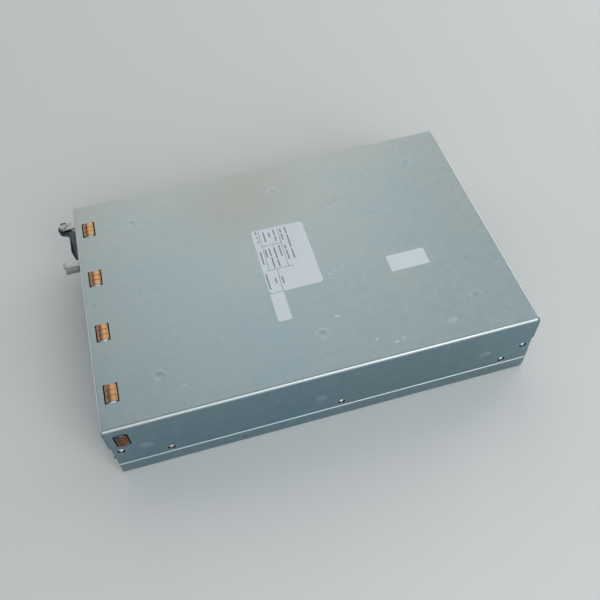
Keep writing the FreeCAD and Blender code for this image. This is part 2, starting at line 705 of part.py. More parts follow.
def lever_end_openings():
    openings = []
    for across in FAN_PLACES:
        openings.append(middle_rod(FAN_BORE, (WALL_FACE, across, FAN_MIDDLE)))
        for aside, up in FAN_CORNERS:
            spot = (WALL_FACE, f"{across} + {aside}", f"{FAN_MIDDLE} + {up}")
            openings.append(middle_rod("fan_shank + 2*screw_room", spot))
    size = ["10*case_sheet"] + [f"{side} + 2*cut_room" for side in INLET_BODY]
    openings.append(middle_block(size, (WALL_FACE, INLET_ACROSS, INLET_HEIGHT)))
    for across in INLET_SCREWS:
        openings.append(middle_rod(SCREW_HOLE, (WALL_FACE, across, INLET_HEIGHT)))
    for up in LAMP_HEIGHTS:
        openings.append(middle_rod("lamp_width + 2*screw_room", (WALL_FACE, LAMP_ACROSS, up)))
    return openings


def output_end_openings():
    size = ("10*case_sheet", "outlet_width + 2*cut_room", "outlet_height + 2*cut_room")
    openings = [middle_block(size, (HALF_LENGTH, "0", OUTLET_HEIGHT))]
    for across in OUTLET_SCREWS:
        openings.append(middle_rod(SCREW_HOLE, (HALF_LENGTH, across, OUTLET_HEIGHT)))
    for across in GUIDES:
        openings.append(middle_rod("guide_stem + 2*pin_room", (HALF_LENGTH, across, OUTLET_HEIGHT)))
    count = 25
    for k in range(count):
        spot = (HALF_LENGTH, f"{k - (count - 1) / 2}*vent_pitch", f"{END_FOLD} + vent_lift + vent_height/2")
        openings.append(middle_block(("10*case_sheet", "vent_width", "vent_height"), spot))
    return openings


def end_fasteners():
    screws = [pan_screw(WALL_FACE, across, WALL_SCREW_HEIGHT, 1) for across in WALL_SCREWS]
    screws += [pan_screw(HALF_LENGTH, across, WALL_SCREW_HEIGHT, -1) for across in WALL_SCREWS]
    for across in INLET_SCREWS:
        screws.append(pan_screw(f"{WALL_FACE} - inlet_flange", across, INLET_HEIGHT, 1))
    for across in OUTLET_SCREWS:
        screws.append(pan_screw(f"{HALF_LENGTH} + outlet_flange", across, OUTLET_HEIGHT, -1))
    keep("end_screws", group(screws))


def contact_clip():
    # A copper arch of three fingers, its feet under the sheet, made about the middle of its window.
    rise = "(clip_rise + case_sheet)"
    radius = f"(((clip_span/2)^2 + {rise}^2)/(2*{rise}))"
    width = "clip_window_width - 2*clip_room"
    below = "-case_sheet - clip_metal"
    start = ("0", f"-({width})/2", f"clip_rise - {radius}")
    ring = cut(rod(f"2*{radius}", width, start, "y"), [rod(f"2*({radius} - clip_metal)", width, start, "y")])
    room = doc.addObject("Part::Common", "Arch")
    room.Base = ring
    room.Tool = block([
        ("-case_length/2", "case_length/2"),
        (f"-({width})/2", f"({width})/2"),
        (below, "3*clip_rise"),
    ])
    feet = []
    for end in ENDS:
        near = "clip_span/2 - 2*clip_metal"
        far = "clip_window_length/2 + clip_foot"
        span = (near, far) if end > 0 else (f"-({far})", f"-({near})")
        feet.append(block([span, (f"-({width})/2", f"({width})/2"), (below, "-case_sheet")]))
    slit = "clip_span/2 - 3*clip_metal"
    slits = []
    for side in SIDES:
        across = f"{side}*({width})/6"
        slits.append(block([
            (f"-({slit})", slit),
            (f"{across} - clip_slit/2", f"{across} + clip_slit/2"),
            (f"-2*{rise}", f"2*{rise}"),
        ]))
    return cut(join([room] + feet), slits)


def contact_clips():
    for count, point in enumerate(clip_places(), start=1):
        keep(f"contact_clip_top_{count}", place(contact_clip(), point))
    for count, side in enumerate(SIDES, start=1):
        item = turn(contact_clip(), "x", -90 * side)
        point = (CLIP_ALONG, f"{side}*{HALF_WIDTH}", SIDE_CLIP)
        keep(f"contact_clip_side_{count}", place(item, point))


def ear_bracket(name, middle, width, corner):
    # Two ears joined by a web against the end wall.
    body = new_body(name)
    far = f"-{HALF_LENGTH} - ear_reach"
    web = f"-{HALF_LENGTH} - ear_sheet"
    section = [
        (WALL_FACE, EAR_UNDER),
        (WALL_FACE, EAR_TOP),
        (far, EAR_TOP),
        (far, f"{EAR_TOP} - ear_sheet"),
        (web, f"{EAR_TOP} - ear_sheet"),
        (web, f"{EAR_UNDER} + ear_sheet"),
        (far, f"{EAR_UNDER} + ear_sheet"),
        (far, EAR_UNDER),
    ]
    pad(body, outline(body, "XZ_Plane", section, f"-({middle}) - ({width})/2"), width)
    sides = [f"{middle} + {side}*({width})/2" for side in SIDES]
    round_edges(body, corner, [{"x": far, "y": across} for across in sides])
    return body


def lever_set():
    drill = ("pin_width + 2*pin_room", "4*ear_gap", (PIVOT_ALONG, BRACKET_MIDDLE, f"{EAR_UNDER} - ear_gap"))
    bracket = ear_bracket("Bracket", BRACKET_MIDDLE, "bracket_width", "ear_corner")
    keep("lever_bracket", cut(bracket, [rod(*drill)]))
    keep("lever_keeper", ear_bracket("Keeper", KEEPER_MIDDLE, "keeper_width", "ear_sheet"))
    shank = rod("pin_width", f"{EAR_TOP} - ({EAR_UNDER})", (PIVOT_ALONG, BRACKET_MIDDLE, EAR_UNDER))
    head = rod("pin_head", "pin_head_depth", (PIVOT_ALONG, BRACKET_MIDDLE, EAR_TOP))
    foot = rod("pin_head", "pin_head_depth", (PIVOT_ALONG, BRACKET_MIDDLE, f"{EAR_UNDER} - pin_head_depth"))
    keep("lever_pin", join([shank, head, foot]))
    inner = f"-{HALF_LENGTH} - lever_gap"
    tip = f"-{HALF_LENGTH} - lever_tip"
    root = f"-{HALF_LENGTH} - lever_root"
    end = f"{KEEPER_MIDDLE} - keeper_width/2 + ear_sheet"
    swell = f"{KEEPER_MIDDLE} + keeper_width*2.4"
    shoulder = f"{BRACKET_MIDDLE} - 2*lever_boss"
    shape = [
        (inner, end),
        (tip, end),
        (tip, f"{KEEPER_MIDDLE} + keeper_width/2"),
        (root, swell),
        (root, shoulder),
        (f"{PIVOT_ALONG} - 0.95*lever_boss", BRACKET_MIDDLE),
        (f"{PIVOT_ALONG} + 0.95*lever_boss", BRACKET_MIDDLE),
        (inner, shoulder),
    ]
    body = new_body("Lever")
    low = f"{EAR_UNDER} + ear_sheet + lever_side"
    pad(body, outline(body, "XY_Plane", shape, low), "ear_gap - 2*lever_side")
    round_edges(body, "1.5*lever_boss", [{"x": root, "y": swell}, {"x": root, "y": shoulder}])
    height = "ear_gap - 2*lever_side"
    boss = rod("2*lever_boss", height, (PIVOT_ALONG, BRACKET_MIDDLE, low))
    nose = block([
        (f"{PIVOT_ALONG} - lever_boss/2", f"{PIVOT_ALONG} + lever_boss/2"),
        (BRACKET_MIDDLE, f"{BRACKET_MIDDLE} + lever_nose"),
        (low, f"{low} + {height}"),
    ])
    keep("ejector_lever", cut(join([body, boss, nose]), [rod(*drill)]))


def fan_frame(across):
    size = ("fan_depth", "fan_size", "fan_size")
    start = f"{WALL_BACK}"
    case = middle_block(size, (f"{start} + fan_depth/2", across, FAN_MIDDLE))
    tools = [rod(FAN_BORE, "fan_depth", (start, across, FAN_MIDDLE), "x")]
    for aside, up in FAN_CORNERS:
        spot = (f"{start} - fan_depth/2", f"{across} + {aside}", f"{FAN_MIDDLE} + {up}")
        tools.append(rod("fan_shank + 2*screw_room", "2*fan_depth", spot, "x"))
    web = f"{start} + fan_depth - fan_web"
    centre = (f"{web} + fan_web/2", across, FAN_MIDDLE)
    struts = [
        rod("fan_hub", "fan_web", (web, across, FAN_MIDDLE), "x"),
        middle_block(("fan_web", f"{FAN_BORE} + fan_wall", "fan_web"), centre),
        middle_block(("fan_web", "fan_web", f"{FAN_BORE} + fan_wall"), centre),
    ]
    return join([cut(case, tools)] + struts)


def fan_rotor():
    # Hub and seven slanted blades about the X axis, starting at x = 0.
    body = new_body("Rotor")
    length = "fan_depth - fan_web - 2*fan_room"
    pad(body, circle(body, "YZ_Plane", "fan_hub"), length)
    near = "fan_room"
    far = f"{length} - fan_room"
    blade = [
        (near, "-blade_sweep"),
        (f"{near} + blade_sheet", "-blade_sweep"),
        (far, "blade_sweep"),
        (f"{far} - blade_sheet", "blade_sweep"),
    ]
    reach = f"{FAN_BORE}/2 - 2*fan_room - fan_hub/4"
    wing = pad(body, outline(body, "XY_Plane", blade, "fan_hub/4"), reach)
    ring = body.newObject("PartDesign::PolarPattern", "Blades")
    ring.Originals = [wing]
    ring.Axis = (next(part for part in body.Origin.OriginFeatures if part.Role == "X_Axis"), [""])
    ring.Angle = 360
    ring.Occurrences = 7
    body.Tip = ring
    doc.recompute()
    return body


def fan_guard(across):
    # Rings welded on two crossed wires, whose ends carry the screw eyes.
    along = f"{WALL_FACE} - guard_lift - guard_wire/2"
    items = []
    for k in range(1, 5):
        ring = doc.addObject("Part::Torus", "Ring")
        ring.setExpression("Radius1", formula(f"{k}*({FAN_BORE}/2 - guard_wire)/4"))
        ring.setExpression("Radius2", formula("guard_wire/2"))
        ring.Placement.Rotation = FreeCAD.Rotation(AXES["z"], AXES["x"])
        items.append(place(ring, (f"{along} - guard_step", across, FAN_MIDDLE)))
    reach = f"2*{FAN_HOLE}*sqrt(2) - {FAN_HEAD} - 4*screw_room"
    for side in SIDES:
        spoke = doc.addObject("Part::Cylinder", "Spoke")
        spoke.setExpression("Radius", formula("guard_wire/2"))
        spoke.setExpression("Height", formula(reach))
        spoke.Placement.Rotation = FreeCAD.Rotation(AXES["z"], VECTOR(0, side, 1))
        low = f"({reach})/2/sqrt(2)"
        items.append(place(spoke, (along, f"{across} - {side}*{low}", f"{FAN_MIDDLE} - {low}")))
    for aside, up in FAN_CORNERS:
        spot = (GUARD_SEAT, f"{across} + {aside}", f"{FAN_MIDDLE} + {up}")
        eye = rod("fan_shank + 2*screw_room + 2.5*guard_wire", "guard_eye", spot, "x")
        items.append(cut(eye, [rod("fan_shank + 2*screw_room", "guard_eye", spot, "x")]))
    return join(items)


def fans():
    screws = []
    for count, across in enumerate(FAN_PLACES, start=1):
        keep(f"fan_frame_{count}", fan_frame(across))
        keep(f"fan_rotor_{count}", place(fan_rotor(), (f"{WALL_BACK} + fan_room", across, FAN_MIDDLE)))
        keep(f"fan_guard_{count}", fan_guard(across))
        for aside, up in FAN_CORNERS:
            spot = (GUARD_SEAT, f"{across} + {aside}", f"{FAN_MIDDLE} + {up}")
            screws.append(pan_screw(*spot, 1, "fan_shank", "fan_screw_length", FAN_HEAD))
    keep("fan_screws", group(screws))


def inlet_pin_places():
    places = []
    for k in (-1, 0, 1):
        rise = "inlet_pin_rise" if k else "-inlet_pin_rise"
        places.append((f"{INLET_ACROSS} + {k}*inlet_pin_pitch", f"{INLET_HEIGHT} + {rise}"))
    return places


def inlet():
    face = f"{WALL_FACE} - inlet_flange"
    back = f"{face} + inlet_depth"
    middle = (INLET_ACROSS, INLET_HEIGHT)
    plate = ("inlet_flange", f"{INLET_BODY[0]} + 2*inlet_ear", f"{INLET_BODY[1]} + 2*inlet_rim")
    flange = middle_block(plate, (f"{face} + inlet_flange/2", *middle))
    housing = middle_block(("inlet_depth", *INLET_BODY), (f"{face} + inlet_depth/2", *middle))
    body = new_body("Socket")
    left = f"{INLET_ACROSS} - inlet_socket_width/2"
    right = f"{INLET_ACROSS} + inlet_socket_width/2"
    low = f"{INLET_HEIGHT} - inlet_socket_height/2"
    high = f"{INLET_HEIGHT} + inlet_socket_height/2"
    hollow = [
        (left, high),
        (right, high),
        (right, f"{low} + inlet_corner"),
        (f"{right} - inlet_corner", low),
        (f"{left} + inlet_corner", low),
        (left, f"{low} + inlet_corner"),
    ]
    pad(body, outline(body, "YZ_Plane", hollow, face), "inlet_socket_depth")
    holes = [middle_rod(SCREW_HOLE, (WALL_FACE, across, INLET_HEIGHT)) for across in INLET_SCREWS]
    floor = f"{face} + inlet_socket_depth"
    pins = []
    slots = []
    for across, up in inlet_pin_places():
        size = ("2*inlet_depth", "inlet_pin_sheet", "inlet_pin_width")
        slots.append(middle_block(size, (back, across, up)))
        pins.append(block([
            (f"{floor} - inlet_pin_reach", f"{back} + inlet_tail"),
            (f"{across} - inlet_pin_sheet/2", f"{across} + inlet_pin_sheet/2"),
            (f"{up} - inlet_pin_width/2", f"{up} + inlet_pin_width/2"),
        ]))
    keep("ac_inlet", cut(join([flange, housing]), [body] + holes + slots))
    keep("inlet_pins", group(pins))
    lamps = []
    for up in LAMP_HEIGHTS:
        lamps.append(rod("lamp_width", "lamp_length", (f"{WALL_FACE} - lamp_reach", LAMP_ACROSS, up), "x"))
    keep("status_lamps", group(lamps))


CONTACTS = [f"{k - 4.5}*contact_pitch" for k in range(10)]


def outlet():
    housing = block([
        (OUTLET_BACK, f"{HALF_LENGTH} + outlet_reach"),
        ("-outlet_width/2", "outlet_width/2"),
        (f"{OUTLET_HEIGHT} - outlet_height/2", f"{OUTLET_HEIGHT} + outlet_height/2"),
    ])
    rim = "(outlet_height + outlet_flange)/2"
    flange = block([
        (HALF_LENGTH, f"{HALF_LENGTH} + outlet_flange"),
        ("-outlet_width/2 - outlet_ear", "outlet_width/2 + outlet_ear"),
        (f"{OUTLET_HEIGHT} - {rim}", f"{OUTLET_HEIGHT} + {rim}"),
    ])
    tools = [middle_rod(SCREW_HOLE, (HALF_LENGTH, across, OUTLET_HEIGHT)) for across in OUTLET_SCREWS]
    blades = []
    for across in CONTACTS:
        size = ("2*case_length", "contact_sheet", "contact_width")
        tools.append(middle_block(size, (HALF_LENGTH, across, OUTLET_HEIGHT)))
        blades.append(block([
            (OUTLET_BACK, f"{HALF_LENGTH} + outlet_reach + contact_reach"),
            (f"{across} - contact_sheet/2", f"{across} + contact_sheet/2"),
            (f"{OUTLET_HEIGHT} - contact_width/2", f"{OUTLET_HEIGHT} + contact_width/2"),
        ]))
    keep("output_connector", cut(join([housing, flange]), tools))
    keep("output_blades", group(blades))
    pins = []
    for across in GUIDES:
        length = "guide_reach - guide_tip"
        tip_start = (f"{HALF_LENGTH} + {length}", across, OUTLET_HEIGHT)
        head_start = (f"{HALF_LENGTH} - case_sheet - guide_head_depth", across, OUTLET_HEIGHT)
        pins.append(join([
            rod("guide_width", length, (HALF_LENGTH, across, OUTLET_HEIGHT), "x"),
            cone("guide_width", "guide_width - 1.5*guide_tip", "guide_tip", tip_start, (1, 0, 0)),
            rod("guide_stem", "case_sheet + guide_head_depth", head_start, "x"),
            rod("guide_head", "guide_head_depth", head_start, "x"),
        ]))
    keep("guide_pins", group(pins))


BOARD_UNDER = "case_sheet + board_lift"
BOARD_TOP = "case_sheet + board_lift + board_sheet"
BOARD_START = f"({WALL_BACK} + fan_depth + board_front_gap)"
BOARD_END = f"({OUTLET_BACK} - board_rear_gap)"
BOARD_HALF = f"({TRAY_INSIDE} - board_side_gap)"
STANDOFFS = [(along, f"{side}*{POST_ROW}") for along in POSTS for side in SIDES]


def board():
    standoffs = []
    screws = []
    board_holes = []
    sheet_holes = []
    bore = "board_shank + screw_room"
    for along, across in STANDOFFS:
        post = rod("standoff_width", "board_lift", (along, across, "case_sheet"))
        depth = f"{BOARD_UNDER} - board_screw_length"
        well = rod(bore, "board_screw_length + board_sheet", (along, across, f"{depth} - 2*screw_room"))
        standoffs.append(cut(post, [well]))
        shank = rod("board_shank", "board_screw_length + board_sheet", (along, across, depth))
        head = rod("board_screw_head", "pan_head_depth", (along, across, BOARD_TOP))
        screws.append(join([shank, head]))
        board_holes.append(rod(bore, "3*board_sheet", (along, across, f"{BOARD_UNDER} - board_sheet")))
        hole = "standoff_width + 2*standoff_room"
        sheet_holes.append(rod(hole, "3*insulator", (along, across, "case_sheet - insulator")))
    across = (f"-{BOARD_HALF}", BOARD_HALF)
    panel = block([(BOARD_START, BOARD_END), across, (BOARD_UNDER, BOARD_TOP)])
    film = block([(BOARD_START, BOARD_END), across, ("case_sheet", "case_sheet + insulator")])
    hang("insulator_sheet", cut(film, [group(sheet_holes)]))
    hang("main_board", cut(panel, [group(board_holes)]))
    hang("board_standoffs", group(standoffs))
    hang("board_screws", group(screws))


def lane(start, lengths):
    # Starts of the parts that follow each other along X.
    starts = []
    along = start
    for length in lengths:
        starts.append(along)
        along = f"{along} + {length} + part_gap"
    return starts


LANE_START = f"{BOARD_START} + board_edge"
ROW_SIDE = f"({POST_ROW} - standoff_width/2 - row_room)"
CORE_SPAN = "(core_depth + 2*winding_wall)"
LANE_GAP = f"(2*{ROW_SIDE} - pfc_choke_width - 2*sink_width - {CORE_SPAN})/3"
FIRST_LANE = f"{ROW_SIDE} - pfc_choke_width/2"
SECOND_LANE = f"{FIRST_LANE} - pfc_choke_width/2 - {LANE_GAP} - sink_width/2"
THIRD_LANE = f"{SECOND_LANE} - sink_width/2 - {LANE_GAP} - {CORE_SPAN}/2"
FOURTH_LANE = f"{THIRD_LANE} - {CORE_SPAN}/2 - {LANE_GAP} - sink_width/2"
EDGE_LANE = f"({POST_ROW} + standoff_width/2 + row_room + filter_capacitor_width/2)"
FIRST_STARTS = lane(LANE_START, ["filter_choke_width"] * 2 + ["pfc_choke_width"])
THIRD_STARTS = lane(LANE_START, ["bulk_width"] * 3 + ["core_length"] + ["output_choke_width"] * 2)
EDGE_START = f"{POSTS[0]} + standoff_width/2 + part_gap"
EDGE_STARTS = lane(EDGE_START, ["fuse_length"] + ["filter_capacitor_length"] * 2)
TERMINAL_END = f"{POSTS[0]} - standoff_width/2 - standoff_room"


def wound_ring(start, across, width, bore, height):
    body = new_body("Ring")
    pad(body, circle(body, "XY_Plane", width), height)
    hole = body.newObject("PartDesign::Pocket", "Bore")
    hole.Profile = circle(body, "XY_Plane", bore)
    hole.Type = "ThroughAll"
    hole.Reversed = True
    body.Tip = hole
    doc.recompute()
    rims = [f"Edge{count}" for count, edge in enumerate(hole.Shape.Edges, start=1) if len(edge.Vertexes) == 1]
    soft = body.newObject("PartDesign::Fillet", "Soft")
    soft.Base = (hole, rims)
    soft.setExpression("Radius", formula("choke_round"))
    body.Tip = soft
    return place(body, (f"{start} + ({width})/2", across, BOARD_TOP))


def input_filter():
    terminal = f"{TERMINAL_END} - terminal_length"
    across = f"(-{INLET_ACROSS})"
    hang("terminal_block", block([
        (terminal, TERMINAL_END),
        (f"{across} - terminal_width/2", f"{across} + terminal_width/2"),
        (BOARD_TOP, "inlet_drop + terminal_rise"),
    ]))
    tail = f"{WALL_FACE} - inlet_flange + inlet_depth + inlet_tail"
    leads = [rod("lead_width", f"{terminal} - ({tail})", (tail, *place), "x") for place in inlet_pin_places()]
    keep("inlet_leads", group(leads))
    fuse, *capacitors = EDGE_STARTS
    base = middle_block(("fuse_length", "fuse_width", "fuse_height"),
                        (f"{fuse} + fuse_length/2", EDGE_LANE, f"{BOARD_TOP} + fuse_height/2"))
    tube_start = (f"{fuse} + fuse_length*0.1", EDGE_LANE, f"{BOARD_TOP} + fuse_height")
    tube = rod("fuse_width*0.7", "fuse_length*0.8", tube_start, "x")
    hang("line_fuse", join([base, tube]))
    boxes = []
    for start in capacitors:
        size = ("filter_capacitor_length", "filter_capacitor_width", "filter_capacitor_height")
        spot = (f"{start} + filter_capacitor_length/2", EDGE_LANE, f"{BOARD_TOP} + filter_capacitor_height/2")
        boxes.append(middle_block(size, spot))
    hang("filter_capacitors", group(boxes))
    *chokes, pfc = FIRST_STARTS
    for count, start in enumerate(chokes, start=1):
        ring = wound_ring(start, FIRST_LANE, "filter_choke_width", "choke_bore", "filter_choke_height")
        hang(f"filter_choke_{count}", ring)
    hang("pfc_choke", wound_ring(pfc, FIRST_LANE, "pfc_choke_width", "pfc_choke_bore", "pfc_choke_height"))


def heatsink(start, length, lane_middle, side):
    # A plate along X on one side of its lane, with fins across it.
    plate_face = f"{lane_middle} + {side}*sink_width/2"
    plate_back = f"{lane_middle} + {side}*(sink_width/2 - sink_plate)"
    fin_end = f"{lane_middle} - {side}*sink_width/2"
    order = 1 if side < 0 else -1
    span = (start, f"{start} + {length}")
    items = [block([span, (plate_face, plate_back)[::order], (BOARD_TOP, f"{BOARD_TOP} + sink_height")])]
    for k in range(5):
        low = f"{BOARD_TOP} + {k}*sink_fin_pitch + sink_fin"
        items.append(block([span, (plate_face, fin_end)[::order], (low, f"{low} + sink_fin")]))
    return join(items)


def device(along, face, side, length="device_length"):
    # A package flat on a heatsink, with three legs down to the board.
    near = face if side > 0 else f"{face} - device_depth"
    far = f"{face} + device_depth" if side > 0 else face
    low = f"{BOARD_TOP} + device_lift"
    items = [block([(along, f"{along} + {length}"), (near, far), (low, f"{low} + device_height")])]
    for k in (-1, 0, 1):
        at = f"{along} + ({length})/2 + {k}*device_leg_pitch"
        mid = f"{near} + device_depth/2"
        items.append(block([
            (f"{at} - device_leg/2", f"{at} + device_leg/2"),
            (f"{mid} - device_leg/2", f"{mid} + device_leg/2"),
            (BOARD_TOP, low),
        ]))
    return join(items)


def power_stage():
    hang("primary_heatsink", heatsink(LANE_START, "primary_length", SECOND_LANE, -1))
    face = f"{SECOND_LANE} - sink_width/2"
    hang("rectifier_bridge", device(f"{LANE_START} + part_gap", face, -1, "bridge_length"))
    first = f"{LANE_START} + 2*part_gap + bridge_length"
    hang("primary_transistors", group([device(f"{first} + {k}*device_pitch", face, -1) for k in range(4)]))
    for count, start in enumerate(THIRD_STARTS[:3], start=1):
        body = new_body("Can")
        can = pad(body, circle(body, "XY_Plane", "bulk_width"), "bulk_height")
        rims = [f"Edge{k}" for k, edge in enumerate(can.Shape.Edges, start=1) if len(edge.Vertexes) == 1]
        soft = body.newObject("PartDesign::Fillet", "Soft")
        soft.Base = (can, rims)
        soft.setExpression("Radius", formula("bulk_round"))
        body.Tip = soft
        hang(f"bulk_capacitor_{count}", place(body, (f"{start} + bulk_width/2", THIRD_LANE, BOARD_TOP)))
    middle = f"{THIRD_STARTS[3]} + core_length/2"
    up = f"{BOARD_TOP} + core_height/2"
    window_height = "core_height - 2*core_yoke"
    core = middle_block(("core_length", "core_depth", "core_height"), (middle, THIRD_LANE, up))
    windows = []
    for end in ENDS:
        spot = (f"{middle} + {end}*(core_leg + core_window)/2", THIRD_LANE, up)
        windows.append(middle_block(("core_window", "2*core_depth", window_height), spot))
    hang("transformer_core", cut(core, windows))
    bore = ("core_leg + 2*winding_room", "core_depth + 2*winding_room", "core_height")
    coil = ("core_leg + 2*winding_wall", CORE_SPAN, f"{window_height} - 2*winding_room")
    spot = (middle, THIRD_LANE, up)
    hang("transformer_winding", cut(middle_block(coil, spot), [middle_block(bore, spot)]))
    for count, start in enumerate(THIRD_STARTS[4:], start=1):
        ring = wound_ring(start, THIRD_LANE, "output_choke_width", "choke_bore", "output_choke_height")
        hang(f"output_choke_{count}", ring)


def output_stage():
    stop = f"{BOARD_END} - bar_length - part_gap"
    start = f"{stop} - secondary_length"
    hang("secondary_heatsink", heatsink(start, "secondary_length", FOURTH_LANE, 1))
    face = f"{FOURTH_LANE} + sink_width/2"
    rectifiers = [device(f"{start} + part_gap + {k}*device_pitch", face, 1) for k in range(4)]
    hang("secondary_rectifiers", group(rectifiers))
    cans = []
    for k in range(6):
        spot = (f"{stop} - output_capacitor_width - {k}*output_capacitor_pitch", f"-{EDGE_LANE}", BOARD_TOP)
        cans.append(rod("output_capacitor_width", "output_capacitor_height", spot))
    hang("output_capacitors", group(cans))
    bars = []
    for side in SIDES:
        across = (f"{side}*bar_pitch - bar_width/2", f"{side}*bar_pitch + bar_width/2")
        level = (BOARD_TOP, f"{BOARD_TOP} + bar_sheet")
        flat = block([(f"{BOARD_END} - bar_length", OUTLET_BACK), across, level])
        rise = (BOARD_TOP, "outlet_drop + contact_width/2")
        bars.append(join([flat, block([(f"{OUTLET_BACK} - bar_sheet", OUTLET_BACK), across, rise])]))
    hang("output_busbars", group(bars))
    card = block([
        (LANE_START, f"{LANE_START} + control_length"),
        (f"-{EDGE_LANE} - board_sheet/2", f"-{EDGE_LANE} + board_sheet/2"),
        (BOARD_TOP, f"{BOARD_TOP} + control_height"),
    ])
    chips = []
    for k in range(3):
        along = f"{LANE_START} + control_length/2 + {k - 1}*(chip_length + part_gap)"
        spot = (along, f"-{EDGE_LANE} + board_sheet/2 + chip_depth/2", f"{BOARD_TOP} + control_height/2")
        chips.append(middle_block(("chip_length", "chip_depth", "chip_height"), spot))
    hang("control_board", join([card] + chips))


def fan_lead(across):
    # A lead from the back of a fan, level and then down to the board.
    bend = value("fan_lead_bend")
    height = f"case_height - {FAN_MIDDLE} - fan_size/2 + fan_lead_drop"
    start = VECTOR(value(f"{WALL_BACK} + fan_depth"), value(across), value(height))
    corner = start + VECTOR(value("board_front_gap + board_edge/2"), 0, 0)
    end = VECTOR(corner.x, corner.y, value(BOARD_TOP))
    level = corner - VECTOR(bend, 0, 0)
    down = corner - VECTOR(0, 0, bend)
    knee = corner - VECTOR(bend, 0, bend) + VECTOR(bend, 0, bend) * 0.5 ** 0.5
    path = Part.Wire([
        Part.LineSegment(start, level).toShape(),
        Part.Arc(level, knee, down).toShape(),
        Part.LineSegment(down, end).toShape(),
    ])
    rim = Part.Wire(Part.Circle(start, AXES["x"], value("fan_lead_width/2")).toShape())
    item = doc.addObject("Part::Feature", "Lead")
    item.Shape = path.makePipeShell([rim], True, False)
    return item


def fan_leads():
    leads = [fan_lead(f"fan_size/4 - ({across})") for across in FAN_PLACES]
    hang("fan_leads", group(leads))


def label(name, length, width, along, across, corner):
    body = new_body("Label")
    corners = [(f"{a}*({length})/2", f"{b}*({width})/2") for a, b in ((-1, -1), (1, -1), (1, 1), (-1, 1))]
    pad(body, outline(body, "XY_Plane", corners), "label_sheet")
    round_edges(body, corner, [{"x": x, "y": y} for x, y in corners])
    keep(name, place(body, (along, across, "case_height")))


def labels():
    label("rating_label", "rating_length", "rating_width", "rating_shift", "rating_side", "rating_corner")
    along = "rating_shift - rating_length/2 + approval_length/2"
    across = "rating_side - rating_width/2 - approval_gap - approval_width/2"
    label("approval_label", "approval_length", "approval_width", along, across, "small_corner")
    blank_along = f"{HALF_LENGTH} - blank_inset"
    label("blank_label", "blank_length", "blank_width", blank_along, "blank_side", "small_corner")


tray()
shell()
side_fasteners()
end_fasteners()
contact_rails()
contact_clips()
lever_set()
fans()
inlet()
outlet()
board()
input_filter()
power_stage()
output_stage()
fan_leads()
labels()
doc.recompute()

for item in doc.Objects:
    bad = [state for state in item.State if state in ("Invalid", "Error")]
    if bad:
        raise RuntimeError(f"{item.Label}: {bad}")
os.makedirs("parts", exist_ok=True)
for item in pieces:
    if item.Shape.isNull() or not item.Shape.isValid() or not item.Shape.Solids:
        raise RuntimeError(f"{item.Label} has no valid solid")
    item.Shape.exportStep(f"parts/{item.Label}.step")
print(len(pieces), "pieces")
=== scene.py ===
import bpy
import json
import math
from mathutils import Matrix, Vector


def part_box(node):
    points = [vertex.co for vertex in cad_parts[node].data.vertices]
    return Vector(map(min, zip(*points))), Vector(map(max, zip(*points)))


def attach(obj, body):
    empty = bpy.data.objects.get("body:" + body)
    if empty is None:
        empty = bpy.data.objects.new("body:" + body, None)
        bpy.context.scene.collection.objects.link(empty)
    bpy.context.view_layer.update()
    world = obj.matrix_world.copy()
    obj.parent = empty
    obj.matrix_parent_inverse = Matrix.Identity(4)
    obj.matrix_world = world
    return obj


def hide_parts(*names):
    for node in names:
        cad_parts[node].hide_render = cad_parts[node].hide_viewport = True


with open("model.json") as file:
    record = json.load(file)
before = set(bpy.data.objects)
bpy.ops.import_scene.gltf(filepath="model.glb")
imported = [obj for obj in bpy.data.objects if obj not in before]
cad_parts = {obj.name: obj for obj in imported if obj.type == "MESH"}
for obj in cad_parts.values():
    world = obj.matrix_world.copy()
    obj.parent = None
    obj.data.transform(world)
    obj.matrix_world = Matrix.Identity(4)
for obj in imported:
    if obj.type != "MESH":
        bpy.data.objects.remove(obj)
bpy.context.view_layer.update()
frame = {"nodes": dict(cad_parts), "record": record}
nodes = frame["nodes"]
slotOf = {part["node"]: part["material_slot"] for part in frame["record"]["subparts"]}
scene = bpy.context.scene
scene.view_settings.view_transform = "Standard"
mm = 0.001
tiny = 1e-6                 # metres within which points count as level
square = 0.99               # least part of a face's normal along the axis that it looks along
smoothBelow = 38            # degrees between faces that shade as one
noiseSpan = (0.3, 0.7)      # where most of a noise lies
finishes = {}
print("frame loaded:", len(nodes), "nodes")


def add(tree, kind, feeds, **settings):
    made = tree.nodes.new(kind)
    for key, what in settings.items():
        setattr(made, key, what)
    for key, what in feeds.items():
        if isinstance(what, bpy.types.NodeSocket):
            tree.links.new(what, made.inputs[key])
        else:
            made.inputs[key].default_value = what
    return made


def objectPlace(tree):
    return add(tree, "ShaderNodeTexCoord", {}).outputs["Object"]


def axesOf(tree, place):
    return add(tree, "ShaderNodeSeparateXYZ", {"Vector": place}).outputs


def noise(tree, place, scale, detail, rough, stretch=None):
    if stretch:
        place = add(tree, "ShaderNodeMapping", {"Vector": place, "Scale": stretch}).outputs["Vector"]
    feeds = {"Vector": place, "Scale": scale, "Detail": detail, "Roughness": rough}
    return add(tree, "ShaderNodeTexNoise", feeds).outputs["Fac"]


def calc(tree, operation, first, second=0.0, third=0.0):
    return add(tree, "ShaderNodeMath", {0: first, 1: second, 2: third}, operation=operation).outputs[0]


def times(tree, first, *others):
    for other in others:
        first = calc(tree, "MULTIPLY", first, other)
    return first


def most(tree, first, *others):
    for other in others:
        first = calc(tree, "MAXIMUM", first, other)
    return first


def addUp(tree, values, weights):
    total = 0.0
    for value, weight in zip(values, weights):
        total = calc(tree, "MULTIPLY_ADD", value, weight, total)
    return total


